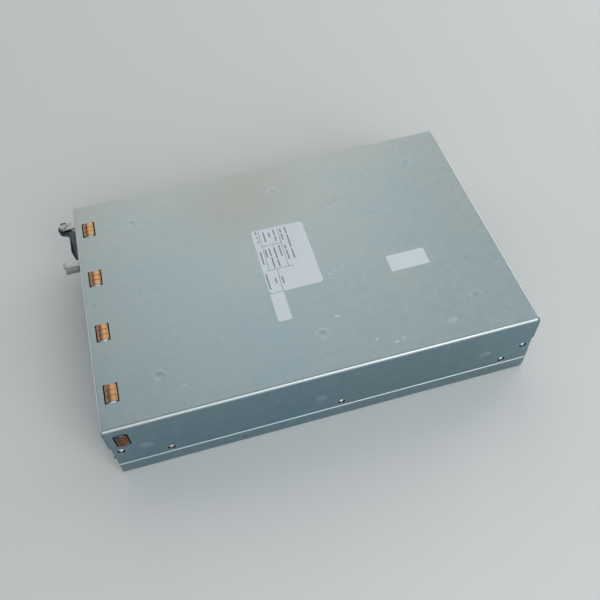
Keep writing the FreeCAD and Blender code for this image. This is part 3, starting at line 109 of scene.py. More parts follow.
def span(tree, value, low, high, outLow=0.0, outHigh=1.0, smooth=False):
    feeds = {"Value": value, "From Min": low, "From Max": high, "To Min": outLow, "To Max": outHigh}
    style = "SMOOTHSTEP" if smooth else "LINEAR"
    return add(tree, "ShaderNodeMapRange", feeds, interpolation_type=style).outputs["Result"]


def fade(tree, value, low, high, outLow=0.0, outHigh=1.0, smooth=False):
    # a span whose limits are in millimetres
    return span(tree, value, low * mm, high * mm, outLow, outHigh, smooth)


def past(tree, value, limit):
    return calc(tree, "GREATER_THAN", value, limit * mm)


def awayFrom(tree, value, middle):
    return calc(tree, "SUBTRACT", value, middle * mm)


def flatDistance(tree, first, second):
    both = add(tree, "ShaderNodeCombineXYZ", {"X": first, "Y": second}).outputs["Vector"]
    return add(tree, "ShaderNodeVectorMath", {0: both}, operation="LENGTH").outputs["Value"]


def opaque(tone):
    return tone if isinstance(tone, bpy.types.NodeSocket) else (*tone, 1)


def blendTone(tree, share, first, second, style="MIX"):
    feeds = {0: share, 6: opaque(first), 7: opaque(second)}
    return add(tree, "ShaderNodeMix", feeds, data_type="RGBA", blend_type=style).outputs[2]


def newFinish(name):
    finish = bpy.data.materials.new(name)
    finish.use_nodes = True
    finishes[name] = finish
    tree = finish.node_tree
    return tree, tree.nodes["Principled BSDF"], objectPlace(tree)


def dress(tree, shader, tone, rough, metallic=0.0):
    tree.links.new(tone, shader.inputs["Base Color"])
    tree.links.new(rough, shader.inputs["Roughness"])
    shader.inputs["Metallic"].default_value = metallic


def bump(tree, shader, height, strength, depth):
    feeds = {"Height": height, "Strength": strength, "Distance": depth * mm}
    made = add(tree, "ShaderNodeBump", feeds)
    tree.links.new(made.outputs["Normal"], shader.inputs["Normal"])


# camera measured from the picture: its place and two of its directions
cameraSet = {
    "place": (-0.08955, -0.42363, 0.61565),
    "right": (0.96277, -0.26827, -0.03321),
    "forward": (0.13085, 0.57002, -0.81114),
    "focal": 710.08,        # in pixels
    "picture": 600,         # width in pixels
    "sensor": 36.0,
    "nearest": 0.01,
}


def setCamera():
    bpy.ops.object.camera_add()
    camera = bpy.context.object
    camera.name = "photoCamera"
    right = Vector(cameraSet["right"]).normalized()
    back = -Vector(cameraSet["forward"]).normalized()
    up = back.cross(right).normalized()
    right = up.cross(back).normalized()
    turn = Matrix((right, up, back)).transposed()
    camera.matrix_world = Matrix.Translation(cameraSet["place"]) @ turn.to_4x4()
    camera.data.sensor_width = cameraSet["sensor"]
    camera.data.lens = cameraSet["focal"] / cameraSet["picture"] * cameraSet["sensor"]
    camera.data.clip_start = cameraSet["nearest"]
    scene.camera = camera


stageSet = {
    "floorSize": 4.4,
    "floorTone": (0.90, 0.90, 0.89),
    "floorRough": 0.9,
    "floorGloss": 0.1,
    "frontSky": (0.156, 0.195, 0.223),
    "backSky": (0.213, 0.224, 0.224),
    "skyAxis": (-0.26, 0.93, 0.25),         # from the dim side of the room to the bright one
    "horizon": (0.50, 0.51, 0.51),          # pale where the floor ends
    "horizonRise": 0.22,
    # name: where it hangs, what it faces, its two sides, its power in watts, its tone
    "lamps": {
        "backPanel": ((0.18, 1.50, 1.48), (0.0, 0.0, 0.08), (1.75, 2.1), 9.25, (0.985, 1.0, 0.99)),
        "leftSoft": ((-0.12, -1.48, 0.88), (-0.10, -0.13, 0.08), (0.90, 1.7), 6.2, (0.97, 1.0, 1.0)),
        "rightSoft": ((0.70, -1.42, 0.90), (0.10, -0.13, 0.08), (0.80, 1.7), 9.4, (1.0, 0.995, 0.98)),
        "leftLamp": ((-1.57, 1.18, 0.69), (0.0, 0.0, 0.08), (1.3, 0.8), 2.8, (1.0, 0.98, 0.95)),
        "cornerSoft": ((1.12, 0.20, 1.21), (0.17, -0.10, 0.08), (0.7, 0.7), 1.3, (0.97, 1.0, 1.0)),
        "edgeLamp": ((1.46, 0.80, 0.58), (0.2, -0.03, 0.08), (0.95, 0.5), 3.8, (1.0, 1.0, 1.0)),
    },
}


def setFloor():
    bpy.ops.mesh.primitive_plane_add(size=stageSet["floorSize"])
    floor = bpy.context.object
    floor.name = "studioFloor"
    paint = bpy.data.materials.new("floorPaint")
    paint.use_nodes = True
    shader = paint.node_tree.nodes["Principled BSDF"]
    shader.inputs["Base Color"].default_value = opaque(stageSet["floorTone"])
    shader.inputs["Roughness"].default_value = stageSet["floorRough"]
    shader.inputs["Specular IOR Level"].default_value = stageSet["floorGloss"]
    floor.data.materials.append(paint)


def setSky():
    world = bpy.data.worlds.new("studioSky")
    world.use_nodes = True
    tree = world.node_tree
    aim = add(tree, "ShaderNodeTexCoord", {}).outputs["Generated"]
    feeds = {0: aim, 1: Vector(stageSet["skyAxis"]).normalized()}
    lean = add(tree, "ShaderNodeVectorMath", feeds, operation="DOT_PRODUCT").outputs["Value"]
    tone = blendTone(tree, span(tree, lean, -1.0, 1.0), stageSet["frontSky"], stageSet["backSky"])
    low = span(tree, axesOf(tree, aim)["Z"], stageSet["horizonRise"], 0.0, smooth=True)
    tone = blendTone(tree, low, tone, stageSet["horizon"])
    tree.links.new(tone, tree.nodes["Background"].inputs["Color"])
    scene.world = world


def setLamps():
    for name, (place, aim, sides, power, tone) in stageSet["lamps"].items():
        bpy.ops.object.light_add(type="AREA", location=place)
        lamp = bpy.context.object
        lamp.name = name
        lamp.data.shape = "RECTANGLE"
        lamp.data.size, lamp.data.size_y = sides
        lamp.data.energy = power
        lamp.data.color = tone
        lamp.rotation_euler = (Vector(aim) - Vector(place)).to_track_quat("-Z", "Y").to_euler()


setCamera()
setFloor()
setSky()
setLamps()
print("camera, floor, sky and lamps set")


zincSet = {
    "cool": (0.412, 0.532, 0.576),
    "warm": (0.524, 0.560, 0.535),
    "wallShade": (0.415, 0.52, 0.58),       # painted shade: what the walls keep of the top's tone
    "beige": (0.475, 0.478, 0.44),
    # painted shade on the near slope of the post dimples
    "dimpleShade": (0.43, 0.575, 0.66),
    # pale tone of real scuffs and of the painted highlights
    "scuffAndHighlight": (0.82, 0.87, 0.88),
    "soot": (0.16, 0.18, 0.19),
    # near black painted shade inside the countersinks
    "sinkShade": (0.025, 0.027, 0.030),
    "bareEdgeAndSheen": (0.86, 0.83, 0.75),        # bare edge of a cut sheet, painted pale as its own tone and as its highlight
    "bendHighlight": (0.66, 0.69, 0.69),      # painted highlight on the bends
    "metallic": 0.92,
    "rough": (0.40, 0.50),
    # noises: scale, detail, roughness and, for the streaks, stretch
    "clouds": (9.0, 2.0, 0.55),
    "mottle": (120.0, 4.0, 0.6),
    "grain": (1100.0, 2.0, 0.5),
    "streaks": (1.0, 2.0, 0.5, (18.0, 420.0, 420.0)),
    "speckle": (420.0, 4.0, 0.65),
    # weights of the noises
    "cloudShade": (1.0, 0.6, 0.5, 0.3),     # clouds, mottle, grain, streaks
    "fleckShade": (0.5, 0.6),               # mottle, grain
    "dullShade": (0.6, 0.4),                # mottle, grain
    "relief": (0.6, 1.0),                   # grain, mottle
    "cloudSpan": (0.75, 1.65),
    "fleckSpan": (0.40, 0.70, 0.93, 1.07),
    "wallShadeSpan": (0.35, 0.65, 0.84, 1.0),
    "bareEdgeSheenSpan": (0.3, 0.6, 0.3, 0.95),
    "tornSpan": (0.16, 0.34),
    "bump": (0.12, 0.06),                   # strength, depth
    "lean": (132.0, 0.35),                  # painted light gradient: half the case's depth, how much warmer and lighter the far edge is
    "rubbedRough": 0.12,
    # where the sheet is flat top, long wall or countersink: past z, past y, past y
    "top": 82.2,
    "side": 131.2,
    "seat": 130.2,
    "bend": (195.7, 129.7, 80.7),           # past x or y, and past z
    "bendHighlightAndPolish": (0.55, -0.10),               # share of the painted bend highlight, change of roughness
    "wallShadeTop": (80.6, 79.4),                # where the painted shade of the walls sets in
    # pale rub marks on the top: middle x, y, half length, half width, turn in degrees, strength
    "scuffs": (
        (23.7, -76.4, 5.0, 2.6, -25, 0.6),
        (31.8, -28.2, 3.2, 2.6, 10, 0.45),
        (38.0, -25.4, 3.6, 1.4, 30, 0.4),
        (45.5, -22.4, 5.0, 1.3, 22, 0.45),
        (66.6, -117.7, 4.2, 2.2, 15, 0.75),
        (73.2, -115.5, 3.6, 1.8, 20, 0.65),
        (50.5, -110.0, 4.4, 2.6, 40, 0.5),
        (122.0, -110.7, 9.0, 6.0, 0, 0.3),
        (-122.0, -107.0, 6.0, 0.8, 12, 0.8),
    ),
    # dark smudges and a scratch, by the same measures
    "smudges": (
        (-188.9, -0.1, 1.6, 3.6, 0, 0.35),
        (-145.0, 5.9, 2.2, 1.6, 0, 0.25),
        (59.5, 62.0, 17.0, 0.9, -2, 0.3),
        (57.0, 60.2, 2.6, 1.3, 8, 0.4),
    ),
    "warmth": (-30.0, 90.0, 105.0, 80.0, 20, 0.72),     # a broad warmer patch near the label
    # post marks: a dark dot, a pale arc behind it as painted highlight on the dimple, a blue painted shade
    # before it, the near row fainter
    "posts": {
        "first": (-142.0, 92.0),
        "pitch": 148.0,
        "dot": (1.0, 1.3, 0.8),             # radius, place behind the middle, strength
        "ring": (6.2, 1.6, 0.5),            # radius, half width, strength
        "dimpleHighlightFade": (-3.0, 4.0),            # from the near side to the far one
        "stain": (7.0, 2.0, 0.62),          # fades between two radii, strength
        "dimpleShadeFade": (4.0, -2.0, 0.2, 1.0),     # from the far side to the near one
        "dimpleShadeSpan": (0.35, 0.65, 0.5, 1.1),
        "faint": 0.6,
    },
    # painted highlight on the dimples in the walls: pale discs with a soft rim, paler upwards
    "dimpleHighlights": {
        "first": (-167.4, 41.6),
        "pitch": 159.5,
        "round": (6.6, 4.95),
        "strength": (0.1, 0.85),
        "patchy": (0.7, 1.2),
    },
    # countersinks in the walls: painted shade inside, a painted highlight at the rim
    "sinks": {
        "row": (-148.0, 25.4, 159.5),       # first x, z, pitch
        "tab": (189.5, 42.0),               # x, z
        "dark": (3.8, 3.4, 0.0, 0.94),      # fades between two radii, strength
        "rim": (4.2, 0.5, 0.9),             # radius, half width, strength
    },
    "step": (17.7, 1.3, 0.65, 0.15),        # the tray's step, mostly spared the painted wall shade so it shows as a lit line: height, half widths, share of the shade that stays
    "cut": (196.7, 131.7, 32.5),            # bare edges of the end walls, painted pale with a painted highlight: past x and y, up to z
}


def spot(tree, place, x, y, long, wide, turn):
    # 1 at the middle of a turned ellipse, 0 at its rim
    feeds = {
        "Vector": place,
        "Location": (x * mm, y * mm, 0),
        "Rotation": (0, 0, math.radians(turn)),
        "Scale": (long * mm, wide * mm, 1e3),       # so long in z that height plays no part
    }
    turned = add(tree, "ShaderNodeMapping", feeds, vector_type="TEXTURE").outputs["Vector"]
    far = add(tree, "ShaderNodeVectorMath", {0: turned}, operation="LENGTH").outputs["Value"]
    return span(tree, far, 1.0, 0.0, smooth=True)


def folded(tree, value, first, pitch):
    # signed distance along one axis to the nearest of a row of marks
    shifted = awayFrom(tree, value, first - pitch / 2)
    wrapped = calc(tree, "WRAP", shifted, pitch * mm, 0.0)
    return awayFrom(tree, wrapped, pitch / 2)


def rimAt(tree, far, radius, half, strength):
    # a soft ring at one distance
    off = calc(tree, "ABSOLUTE", awayFrom(tree, far, radius))
    return fade(tree, off, half, 0.0, 0.0, strength, smooth=True)


def postMarks(tree, axes, speckle, onTop):
    posts = zincSet["posts"]
    firstX, firstY = posts["first"]
    along = folded(tree, axes["X"], firstX, posts["pitch"])
    across = folded(tree, axes["Y"], -firstY, 2 * firstY)
    far = flatDistance(tree, along, across)
    row = times(tree, onTop, span(tree, past(tree, axes["Y"], 0.0), 0.0, 1.0, posts["faint"], 1.0))
    size, behind, strength = posts["dot"]
    dot = flatDistance(tree, along, awayFrom(tree, across, behind))
    dot = times(tree, fade(tree, dot, size, 0.0, 0.0, strength, smooth=True), row)
    # painted highlight on the far slope of each dimple
    ring = times(tree, rimAt(tree, far, *posts["ring"]), speckle, onTop)
    ring = times(tree, ring, fade(tree, across, *posts["dimpleHighlightFade"]))
    # painted shade on the near slope of each dimple
    outer, inner, strength = posts["stain"]
    stain = times(tree, fade(tree, far, outer, inner, 0.0, strength, smooth=True), row)
    stain = times(tree, stain, fade(tree, across, *posts["dimpleShadeFade"]))
    stain = times(tree, stain, span(tree, speckle, *posts["dimpleShadeSpan"]))
    return dot, ring, stain


def wallDimpleHighlights(tree, axes, speckle, acrossY):
    dimpleHighlights = zincSet["dimpleHighlights"]
    firstX, firstZ = dimpleHighlights["first"]
    outer, inner = dimpleHighlights["round"]
    along = folded(tree, axes["X"], firstX, dimpleHighlights["pitch"])
    up = awayFrom(tree, axes["Z"], firstZ)
    disc = fade(tree, flatDistance(tree, along, up), outer, inner, smooth=True)
    disc = times(tree, disc, fade(tree, up, -outer, outer, *dimpleHighlights["strength"]))
    disc = times(tree, disc, span(tree, speckle, *noiseSpan, *dimpleHighlights["patchy"]))
    return times(tree, disc, past(tree, acrossY, zincSet["side"]))


def sinkShadeAndRim(tree, axes, alongX, acrossY):
    sinks = zincSet["sinks"]
    rowX, rowZ, pitch = sinks["row"]
    tabX, tabZ = sinks["tab"]
    rowFar = flatDistance(tree, folded(tree, axes["X"], rowX, pitch), awayFrom(tree, axes["Z"], rowZ))
    tabFar = flatDistance(tree, awayFrom(tree, alongX, tabX), awayFrom(tree, axes["Z"], tabZ))
    far = calc(tree, "MINIMUM", rowFar, tabFar)
    inSeat = past(tree, acrossY, zincSet["seat"])
    sinkShade = times(tree, fade(tree, far, *sinks["dark"]), inSeat)
    sinkRimHighlight = times(tree, rimAt(tree, far, *sinks["rim"]), inSeat)
    return sinkShade, sinkRimHighlight


def shellMarks(tree, place, axes, alongX, acrossY, tone, rough):
    onTop = past(tree, axes["Z"], zincSet["top"])
    speckle = noise(tree, place, *zincSet["speckle"])
    scuffs = []
    for *patch, strength in zincSet["scuffs"]:
        torn = times(tree, spot(tree, place, *patch), speckle)
        scuffs.append(span(tree, torn, *zincSet["tornSpan"], 0.0, strength))
    smudges = []
    for *patch, strength in zincSet["smudges"]:
        smudges.append(times(tree, spot(tree, place, *patch), strength))
    dot, ring, stain = postMarks(tree, axes, speckle, onTop)
    disc = wallDimpleHighlights(tree, axes, speckle, acrossY)
    sinkShade, sinkRimHighlight = sinkShadeAndRim(tree, axes, alongX, acrossY)
    # real scuffs together with the painted highlights of dimple rings, wall dimples and countersink rims
    pale = most(tree, times(tree, most(tree, *scuffs), onTop), ring, disc, sinkRimHighlight)
    dark = times(tree, most(tree, *smudges, dot), onTop)
    tone = blendTone(tree, stain, tone, zincSet["dimpleShade"])
    tone = blendTone(tree, pale, tone, zincSet["scuffAndHighlight"])
    tone = blendTone(tree, dark, tone, zincSet["soot"])
    tone = blendTone(tree, sinkShade, tone, zincSet["sinkShade"])
    rough = calc(tree, "MULTIPLY_ADD", pale, zincSet["rubbedRough"], rough)
    return tone, rough


def bendHighlightAndPolish(tree, axes, alongX, acrossY, tone, rough):
    # the bends are smoother than the flat sheet, and painted brighter as a painted highlight
    endX, endY, high = zincSet["bend"]
    outer = most(tree, past(tree, acrossY, endY), past(tree, alongX, endX))
    bend = times(tree, past(tree, axes["Z"], high), outer)
    share, change = zincSet["bendHighlightAndPolish"]
    tone = blendTone(tree, times(tree, bend, share), tone, zincSet["bendHighlight"])
    return tone, calc(tree, "MULTIPLY_ADD", bend, change, rough)


def bareEdgesAndSheen(tree, axes, alongX, acrossY, mottle, tone):
    endX, endY, top = zincSet["cut"]
    low = calc(tree, "LESS_THAN", axes["Z"], top * mm)
    bare = times(tree, past(tree, alongX, endX), past(tree, acrossY, endY), low)
    bare = times(tree, bare, span(tree, mottle, *zincSet["bareEdgeSheenSpan"]))
    return blendTone(tree, bare, tone, zincSet["bareEdgeAndSheen"])


def zincSheet(name, marked=False, stepped=False, lift=1.0):
    tree, shader, place = newFinish(name)
    axes = axesOf(tree, place)
    alongX, acrossY = (calc(tree, "ABSOLUTE", axes[key]) for key in ("X", "Y"))
    kinds = ("clouds", "mottle", "grain", "streaks")
    clouds, mottle, grain, streaks = (noise(tree, place, *zincSet[key]) for key in kinds)
    share = addUp(tree, (clouds, mottle, grain, streaks), zincSet["cloudShade"])
    share = span(tree, share, *zincSet["cloudSpan"])
    if marked:
        # painted light: the top turns warmer and lighter towards its far edge
        half, lean = zincSet["lean"]
        share = calc(tree, "ADD", share, fade(tree, axes["Y"], -half, half, -lean, lean))
    cool, warm = ([part * lift for part in zincSet[key]] for key in ("cool", "warm"))
    tone = blendTone(tree, share, cool, warm)
    fleck = span(tree, addUp(tree, (mottle, grain), zincSet["fleckShade"]), *zincSet["fleckSpan"])
    grey = add(tree, "ShaderNodeCombineColor", {0: fleck, 1: fleck, 2: fleck}).outputs[0]
    tone = blendTone(tree, 1.0, tone, grey, "MULTIPLY")
    rough = span(tree, addUp(tree, (mottle, grain), zincSet["dullShade"]), *noiseSpan, *zincSet["rough"])
    if marked:
        *patch, strength = zincSet["warmth"]
        tone = blendTone(tree, times(tree, spot(tree, place, *patch), strength), tone, zincSet["beige"])
        tone, rough = shellMarks(tree, place, axes, alongX, acrossY, tone, rough)
        tone, rough = bendHighlightAndPolish(tree, axes, alongX, acrossY, tone, rough)
    # painted shade: the walls below the top are painted darker, mottled, apart from the step
    wall = fade(tree, axes["Z"], *zincSet["wallShadeTop"])
    wall = times(tree, wall, span(tree, mottle, *zincSet["wallShadeSpan"]))
    # the step keeps most of the top's tone, a painted highlight along it
    if stepped:
        middle, half, inner, stays = zincSet["step"]
        off = calc(tree, "ABSOLUTE", awayFrom(tree, axes["Z"], middle))
        wall = times(tree, wall, fade(tree, off, inner, half, stays, 1.0, smooth=True))
    tone = blendTone(tree, wall, tone, blendTone(tree, 1.0, tone, zincSet["wallShade"], "MULTIPLY"))
    if marked:
        tone = bareEdgesAndSheen(tree, axes, alongX, acrossY, mottle, tone)
    dress(tree, shader, tone, rough, zincSet["metallic"])
    bump(tree, shader, addUp(tree, (grain, mottle), zincSet["relief"]), *zincSet["bump"])


def twoTone(name, tones, roughs, coarse, fine, weights, limits, metallic, relief):
    # two tones mixed by a coarse and a fine noise, of which the fine one also sets gloss and relief
    tree, shader, place = newFinish(name)
    patches, lines = (noise(tree, place, *kind) for kind in (coarse, fine))
    share = span(tree, addUp(tree, (patches, lines), weights), *limits)
    dress(tree, shader, blendTone(tree, share, *tones), span(tree, lines, *noiseSpan, *roughs), metallic)
    bump(tree, shader, lines, *relief)


metalSet = {
    "weights": (0.7, 0.5),
    "limits": (0.4, 0.8),
    "noise": (3.0, 0.6),        # detail, roughness
    "coarse": 0.3,              # scale of the stains beside that of the lines
    "depth": 0.05,
    # slot: dark tone, light tone, high and low roughness, pattern scale, stretch, bump
    "slots": {
        "bracket_steel": ((0.36, 0.36, 0.35), (0.60, 0.60, 0.58), (0.44, 0.30), 260, (1, 6, 6), 0.14),
        "lever_steel": ((0.030, 0.036, 0.046), (0.078, 0.094, 0.118), (0.28, 0.14), 190, (1, 1, 2), 0.06),
        "post_steel": ((0.58, 0.59, 0.60), (0.70, 0.71, 0.72), (0.40, 0.26), 300, (1, 1, 4), 0.08),
        "guide_steel": ((0.60, 0.61, 0.62), (0.76, 0.77, 0.78), (0.30, 0.18), 400, (6, 1, 1), 0.08),
        "screw_zinc": ((0.66, 0.64, 0.60), (0.90, 0.87, 0.81), (0.28, 0.16), 520, (1, 1, 1), 0.08),
        "pin_metal": ((0.62, 0.58, 0.48), (0.80, 0.77, 0.68), (0.34, 0.20), 300, (1, 1, 1), 0.06),
        "blade_metal": ((0.70, 0.52, 0.24), (0.84, 0.68, 0.38), (0.32, 0.18), 260, (0.4, 2, 2), 0.06),
        "guard_wire": ((0.58, 0.59, 0.60), (0.74, 0.75, 0.76), (0.30, 0.16), 300, (1, 1, 1), 0.05),
        "sink_metal": ((0.62, 0.63, 0.64), (0.76, 0.77, 0.78), (0.44, 0.30), 240, (0.15, 2, 2), 0.12),
        "bus_copper": ((0.52, 0.26, 0.14), (0.76, 0.44, 0.27), (0.40, 0.24), 200, (0.4, 2, 2), 0.08),
    },
}


def platedMetal(name):
    dark, light, roughs, scale, stretch, rise = metalSet["slots"][name]
    coarse = (scale * metalSet["coarse"], *metalSet["noise"])
    fine = (scale, *metalSet["noise"], stretch)
    relief = (rise, metalSet["depth"])
    twoTone(name, (dark, light), roughs, coarse, fine, metalSet["weights"], metalSet["limits"], 1.0, relief)


copperSet = {
    "bright": (0.74, 0.41, 0.205),
    "brown": (0.36, 0.205, 0.13),
    "dull": (0.36, 0.30, 0.28),         # painted shade: what the clips in the side walls keep of the tone
    "rough": (0.30, 0.46),
    "stain": (170.0, 4.0, 0.62),
    "rub": (1.0, 2.0, 0.5, (60.0, 500.0, 500.0)),
    "ends": (-190.6, -178.2),           # x of both feet of the arches on the top
    "litAlongArch": (0.35, 0.6),               # where along the arch the painted highlight turns it brighter
    "weights": (0.45, 0.75, 0.25),      # painted highlight along the arch, stain, rub
    "limits": (0.42, 0.98),
    "aside": 125.0,                     # past this y the clips are those in the walls
    "bump": (0.15, 0.05),
}


def springCopper(name):
    tree, shader, place = newFinish(name)
    stain, rub = (noise(tree, place, *copperSet[key]) for key in ("stain", "rub"))
    axes = axesOf(tree, place)
    # painted light: each arch is painted brighter towards +x and darker towards -x
    litAlongArch = span(tree, fade(tree, axes["X"], *copperSet["ends"]), *copperSet["litAlongArch"])
    share = span(tree, addUp(tree, (litAlongArch, stain, rub), copperSet["weights"]), *copperSet["limits"])
    tone = blendTone(tree, share, copperSet["brown"], copperSet["bright"])
    # painted shade on the clips in the side walls
    aside = past(tree, calc(tree, "ABSOLUTE", axes["Y"]), copperSet["aside"])
    tone = blendTone(tree, aside, tone, blendTone(tree, 1.0, tone, copperSet["dull"], "MULTIPLY"))
    dress(tree, shader, tone, span(tree, stain, *noiseSpan, *copperSet["rough"]), 1.0)
    bump(tree, shader, rub, *copperSet["bump"])


plasticSet = {
    "weights": (0.7, 0.5),
    "limits": (0.42, 0.78),
    "flow": (60.0, 3.0, 0.55),
    "grain": (2.0, 0.5),        # detail, roughness
    "depth": 0.06,
    # slot: dark tone, light tone, low and high roughness, grain scale, bump
    "slots": {
        "inlet_plastic": ((0.014, 0.014, 0.015), (0.030, 0.030, 0.032), (0.38, 0.52), 1500, 0.16),
        "connector_plastic": ((0.018, 0.018, 0.021), (0.036, 0.036, 0.040), (0.36, 0.50), 1400, 0.16),
        "terminal_plastic": ((0.030, 0.030, 0.034), (0.055, 0.055, 0.060), (0.30, 0.42), 1200, 0.12),
        "fan_plastic": ((0.016, 0.016, 0.017), (0.034, 0.034, 0.036), (0.42, 0.56), 1300, 0.18),
        "rotor_plastic": ((0.020, 0.020, 0.022), (0.040, 0.040, 0.043), (0.28, 0.42), 1300, 0.12),
        "device_epoxy": ((0.022, 0.022, 0.023), (0.045, 0.045, 0.047), (0.48, 0.62), 1800, 0.22),
        "box_capacitor": ((0.60, 0.44, 0.07), (0.72, 0.56, 0.12), (0.26, 0.38), 900, 0.08),
        "can_sleeve": ((0.030, 0.040, 0.085), (0.055, 0.070, 0.140), (0.24, 0.36), 700, 0.06),
        "lead_sleeve": ((0.022, 0.022, 0.023), (0.042, 0.042, 0.044), (0.40, 0.52), 900, 0.10),
        "fan_lead_sleeve": ((0.26, 0.022, 0.018), (0.38, 0.045, 0.034), (0.38, 0.50), 900, 0.10),
        "fuse_ceramic": ((0.74, 0.73, 0.69), (0.84, 0.83, 0.80), (0.34, 0.46), 600, 0.10),
        "ferrite": ((0.055, 0.055, 0.057), (0.095, 0.095, 0.098), (0.46, 0.60), 1600, 0.20),
        "film": ((0.085, 0.085, 0.080), (0.125, 0.125, 0.118), (0.30, 0.44), 300, 0.08),
    },
}


def mouldedPlastic(name):
    dark, light, roughs, scale, rise = plasticSet["slots"][name]
    fine = (scale, *plasticSet["grain"])
    weights, limits = plasticSet["weights"], plasticSet["limits"]
    relief = (rise, plasticSet["depth"])
    twoTone(name, (dark, light), roughs, plasticSet["flow"], fine, weights, limits, 0.0, relief)


windingSet = {
    "stain": (150.0, 3.0, 0.6),
    "weights": (0.6, 0.5),      # turns, stain
    "limits": (0.2, 0.9),
    "wander": 1.2,
    "detail": 1.0,
    "bump": (0.5, 0.2),
    # slot: dark tone, light tone, metallic share, low and high roughness, scale and run of the turns
    "slots": {
        "wound_copper": ((0.26, 0.10, 0.04), (0.62, 0.30, 0.13), 0.85, (0.26, 0.40), 192.2, "DIAGONAL"),
        "winding_tape": ((0.62, 0.48, 0.14), (0.82, 0.68, 0.27), 0.0, (0.34, 0.46), 65.1, "Z"),
    },
}


def woundLayer(name):
    dark, light, metallic, roughs, scale, run = windingSet["slots"][name]
    tree, shader, place = newFinish(name)
    feeds = {
        "Vector": place,
        "Scale": scale,
        "Distortion": windingSet["wander"],
        "Detail": windingSet["detail"],
    }
    turns = add(tree, "ShaderNodeTexWave", feeds, bands_direction=run).outputs["Fac"]
    stain = noise(tree, place, *windingSet["stain"])
    share = span(tree, addUp(tree, (turns, stain), windingSet["weights"]), *windingSet["limits"])
    dress(tree, shader, blendTone(tree, share, dark, light), span(tree, stain, *noiseSpan, *roughs), metallic)
    bump(tree, shader, turns, *windingSet["bump"])


boardSet = {
    "lacquer": (0.018, 0.105, 0.050),
    "track": (0.030, 0.165, 0.078),
    "rough": (0.26, 0.40),
    "tracks": {"Scale": 70.0, "Mortar Size": 0.018, "Brick Width": 0.9, "Row Height": 0.22},
    "weave": (900.0, 2.0, 0.5),
    "weaveSpan": (0.55, 0.75, 0.0, 0.5),
    "bump": (0.2, 0.05),
}


def boardLaminate(name):
    tree, shader, place = newFinish(name)
    bricks = add(tree, "ShaderNodeTexBrick", {"Vector": place, **boardSet["tracks"]}).outputs["Fac"]
    weave = noise(tree, place, *boardSet["weave"])
    share = most(tree, bricks, span(tree, weave, *boardSet["weaveSpan"]))
    tone = blendTone(tree, share, boardSet["lacquer"], boardSet["track"])
    dress(tree, shader, tone, span(tree, weave, *noiseSpan, *boardSet["rough"]))
    bump(tree, shader, bricks, *boardSet["bump"])


lensSet = {
    "dark": (0.03, 0.20, 0.06),
    "light": (0.10, 0.46, 0.16),
    "rough": (0.10, 0.18),
    "swirl": (700.0, 2.0, 0.5),
    "coat": 0.5,
}


def lampLens(name):
    tree, shader, place = newFinish(name)
    swirl = noise(tree, place, *lensSet["swirl"])
    tone = blendTone(tree, span(tree, swirl, *noiseSpan), lensSet["dark"], lensSet["light"])
    dress(tree, shader, tone, span(tree, swirl, *noiseSpan, *lensSet["rough"]))
    shader.inputs["Coat Weight"].default_value = lensSet["coat"]


labelSet = {
    "weights": (0.7, 0.4),
    "limits": (0.38, 0.74),
    "soft": (70.0, 2.0, 0.5),
    "fibre": (900.0, 3.0, 0.6),
    "relief": (0.05, 0.03),
    # slot: dark tone, light tone, low and high roughness
    "slots": {
        "rating_film": ((0.82, 0.88, 0.93), (0.87, 0.92, 0.97), (0.42, 0.52)),
        "approval_film": ((0.82, 0.88, 0.93), (0.87, 0.92, 0.97), (0.42, 0.52)),
        "blank_film": ((0.84, 0.92, 0.97), (0.87, 0.94, 0.985), (0.46, 0.56)),
        "label_ink": ((0.10, 0.10, 0.115), (0.20, 0.205, 0.225), (0.55, 0.65)),
        "faint_ink": ((0.26, 0.275, 0.30), (0.36, 0.38, 0.41), (0.55, 0.65)),
    },
}


def labelFilm(name):
    dark, light, roughs = labelSet["slots"][name]
    coarse, fine = labelSet["soft"], labelSet["fibre"]
    weights, limits, relief = (labelSet[key] for key in ("weights", "limits", "relief"))
    twoTone(name, (dark, light), roughs, coarse, fine, weights, limits, 0.0, relief)


zincSheet("shell_zinc", marked=True)
zincSheet("tray_zinc", stepped=True, lift=1.04)
zincSheet("rail_zinc", lift=1.02)
springCopper("clip_copper")
boardLaminate("board_laminate")
lampLens("lamp_lens")
families = (
    (platedMetal, metalSet),
    (mouldedPlastic, plasticSet),
    (woundLayer, windingSet),
    (labelFilm, labelSet),
)
for makeFinish, family in families:
    for name in family["slots"]:
        makeFinish(name)
for name, thing in nodes.items():
    thing.data.materials.clear()
    thing.data.materials.append(finishes[slotOf[name]])
print("finishes:", len(finishes))


def clearPick():
    if bpy.context.mode != "OBJECT":
        bpy.ops.object.mode_set(mode="OBJECT")
    bpy.ops.object.select_all(action="DESELECT")


def pick(*things):
    clearPick()
    for thing in things:
        thing.select_set(True)
    bpy.context.view_layer.objects.active = things[0]


def editPart(piece, kind, test):
    # edit mode, with only the faces or points selected that pass the test
    pick(piece)
    bpy.ops.object.mode_set(mode="EDIT")
    bpy.ops.mesh.select_mode(type=kind)
    bpy.ops.mesh.select_all(action="DESELECT")
    bpy.ops.object.mode_set(mode="OBJECT")
    for part in piece.data.polygons if kind == "FACE" else piece.data.vertices:
        part.select = bool(test(part))
    bpy.ops.object.mode_set(mode="EDIT")


def editFaces(piece, test):
    editPart(piece, "FACE", test)


def editPoints(piece, test):
    editPart(piece, "VERT", lambda point: test(point.co))


def crownRows(piece, axis, rise):
    # each row of points along one axis moves up by rise(row)
    pick(piece)
    for row in sorted({round(point.co[axis], 6) for point in piece.data.vertices}):
        editPoints(piece, lambda place: abs(place[axis] - row) < 2 * tiny)
        bpy.ops.transform.translate(value=(0, 0, rise(row)))


def extrude(*step):
    bpy.ops.mesh.extrude_region_move(TRANSFORM_OT_translate={"value": step})


def selectAll():
    bpy.ops.mesh.select_all(action="SELECT")


